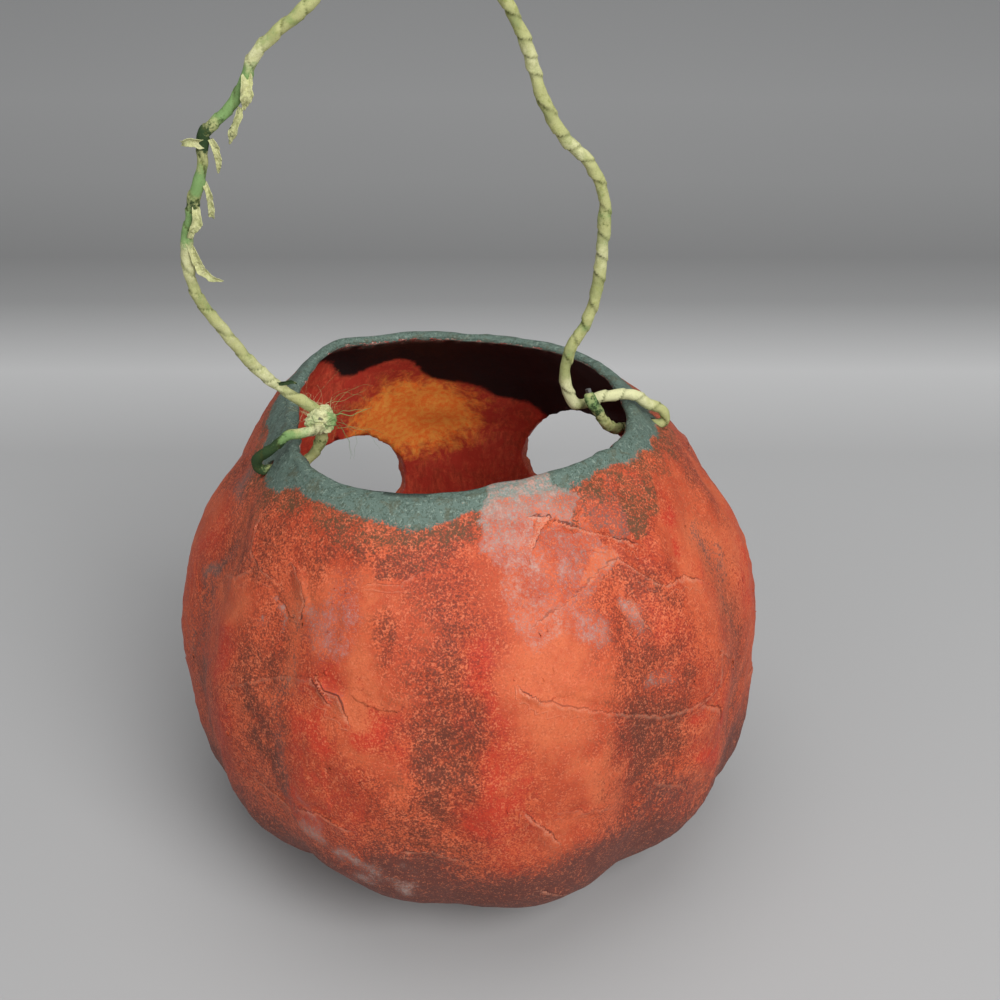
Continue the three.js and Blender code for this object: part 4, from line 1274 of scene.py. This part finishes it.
def wound_lump():
    only()
    bpy.ops.mesh.primitive_uv_sphere_add(segments=96, ring_count=64, radius=1)
    lump = bpy.context.object
    ball = vertices_of(lump)
    ridges = 0.16 * ridged(ball * [0.5, 1, 1], 0.36, 81) + 0.16 * lumps(ball, 0.8, 82)
    ridges += 0.06 * lumps(ball, 0.14, 83) - 0.12 * bell(ball[:, 0] + 0.05, 0.22)
    ball = ball * (1 + ridges)[:, None] * knot_size
    move_vertices(lump, placed(knot_centre, ball[:, :1], ball[:, 1:2], ball[:, 2:]))
    bpy.ops.object.shade_smooth()
    return lump


def thread(places, thick):
    shares = np.linspace(0, 1, len(places))
    return tube("thread", places, 4, lambda turn, step: thick * (1 - 0.75 * shares[step]))


rng = np.random.default_rng(9)
parts = [wound_lump()]
for _ in range(hair_count):
    out = rng.normal(size=3)
    out[2] *= 0.6
    out /= np.linalg.norm(out)
    root = placed(knot_centre, *(out * knot_size * 0.92))
    lead = placed(0, *out)
    long = rng.uniform(*hair_length) * (short_below if out[1] < 0.15 else 1) * mm
    bow = rng.normal(size=3) * 1.1
    reach_out = np.linspace(0, 1, 9)[:, None]
    curled = reach_out * lead + reach_out**2 * bow + 0.35 * np.sin(7 * reach_out) * rng.normal(size=3)
    parts.append(thread(root + long * curled, rng.uniform(*hair_radius) * mm))
# Long fibres: stations like those of the wire from the left hole, and radius in mm
fibres = [
    ([(18.4, 14.4, 1), (22, 14.6, 2.5), (28, 16.4, 3)], 0.16),
    ([(18.4, 13.6, 0), (23, 15.4, 1), (27, 15.2, 2)], 0.12),
    ([(19, 12, 2), (22, 6, 1), (22, 0, 0)], 0.06), ([(20, 13, 2), (24, 8, 1), (23, 1, 0)], 0.05),
    ([(19, 13, 2), (27, 8, 1), (30, 2, 0)], 0.05), ([(19, 17, 0), (24, 20, -2), (30, 20, -3)], 0.05),
    ([(18, 13, 2), (21, 9, 0), (23, 1, 1)], 0.05), ([(18, 18, 1), (24, 19, 1), (27, 21, 1)], 0.06),
    ([(17, 16, -3), (23, 17, -5), (29, 14, -6)], 0.05), ([(19, 12, 3), (26, 11, 4), (31, 8, 2)], 0.06),
]
for stations_of, thick in fibres:
    line, _ = bent(from_left(stations_of), 0.8 * mm)
    wander = 0.3 * mm * np.stack([lumps(line, 2 * mm, 90 + axis) for axis in range(3)], axis=1)
    parts.append(thread(line + wander, thick * mm))
knot = joined(parts)
knot.name = "bound_knot"
points = vertices_of(knot)
inward = (points - knot_centre) @ span / mm
# The knot is darker toward its bottom
below = 1 - rise(points[:, 2] - knot_centre[2], -4 * mm, 0)
stored(knot, {"green": 0.35 + 0.5 * rise(inward, 0, 6), "moss_and_shade": 0.3 * below,
              "cream": 0.7 - 0.5 * rise(inward, 1, 6), "edge": 0 * inward})
finished(knot, crepe_paper, "bail", "crepe_tape", "left_knot")


# Floor and light
# A plain pale floor with bands of painted light and shade by distance, one large soft lamp on the
# image's right, a dim one on its left and one overhead, as under a skylight.

floor_radius = 6
bpy.ops.mesh.primitive_circle_add(vertices=96, radius=floor_radius, fill_type="TRIFAN")
floor = bpy.context.object
floor.name = "floor"
ground = Finish("floor")
spot = ground.node("ShaderNodeSeparateXYZ", {}, {"Vector": ground.place()}, "Y")
# Painted light and shade of the floor, in bands from 1 m beyond the lantern to where the camera stands
floor_light_bands = [(0, 182), (0.28, 176), (0.445, 160), (0.57, 139), (0.63, 154), (0.71, 200), (0.79, 176), (1.0, 171)]
shade = ground.node("ShaderNodeValToRGB", {"stops": [(at, linear((tone, tone, tone))) for at, tone in floor_light_bands]},
                    {"Fac": spot + 1.0})
ground.set(Base_Color=shade, Roughness=0.7)
floor.data.materials.append(ground.material)

# Name, place, size in metres and power in watts of each lamp
lamps = [
    ("key", (-0.46, 0.8, 0.84), 0.7, 11.8),
    ("fill", (0.6, 0.7, 0.6), 0.9, 1.6),
    ("top", (0.0, 0.1, 1.1), 0.9, 3.4),
]
lamp_aim = np.array([0, 0, 0.08])
room_colour = (0.6, 0.61, 0.62, 1)
room_strength = 0.5
for name, place, size, power in lamps:
    bpy.ops.object.light_add(type="AREA", location=place)
    lamp = bpy.context.object
    lamp.name = name
    lamp.data.shape = "DISK"
    lamp.data.size = size
    lamp.data.energy = power
    toward = lamp_aim - place
    level = math.hypot(toward[0], toward[1])
    lamp.rotation_euler = (math.atan2(level, -toward[2]), 0, math.atan2(toward[1], toward[0]) - math.pi / 2)
world = bpy.data.worlds.new("room")
world.use_nodes = True
backdrop = world.node_tree.nodes["Background"].inputs
backdrop["Color"].default_value = room_colour
backdrop["Strength"].default_value = room_strength
bpy.context.scene.world = world
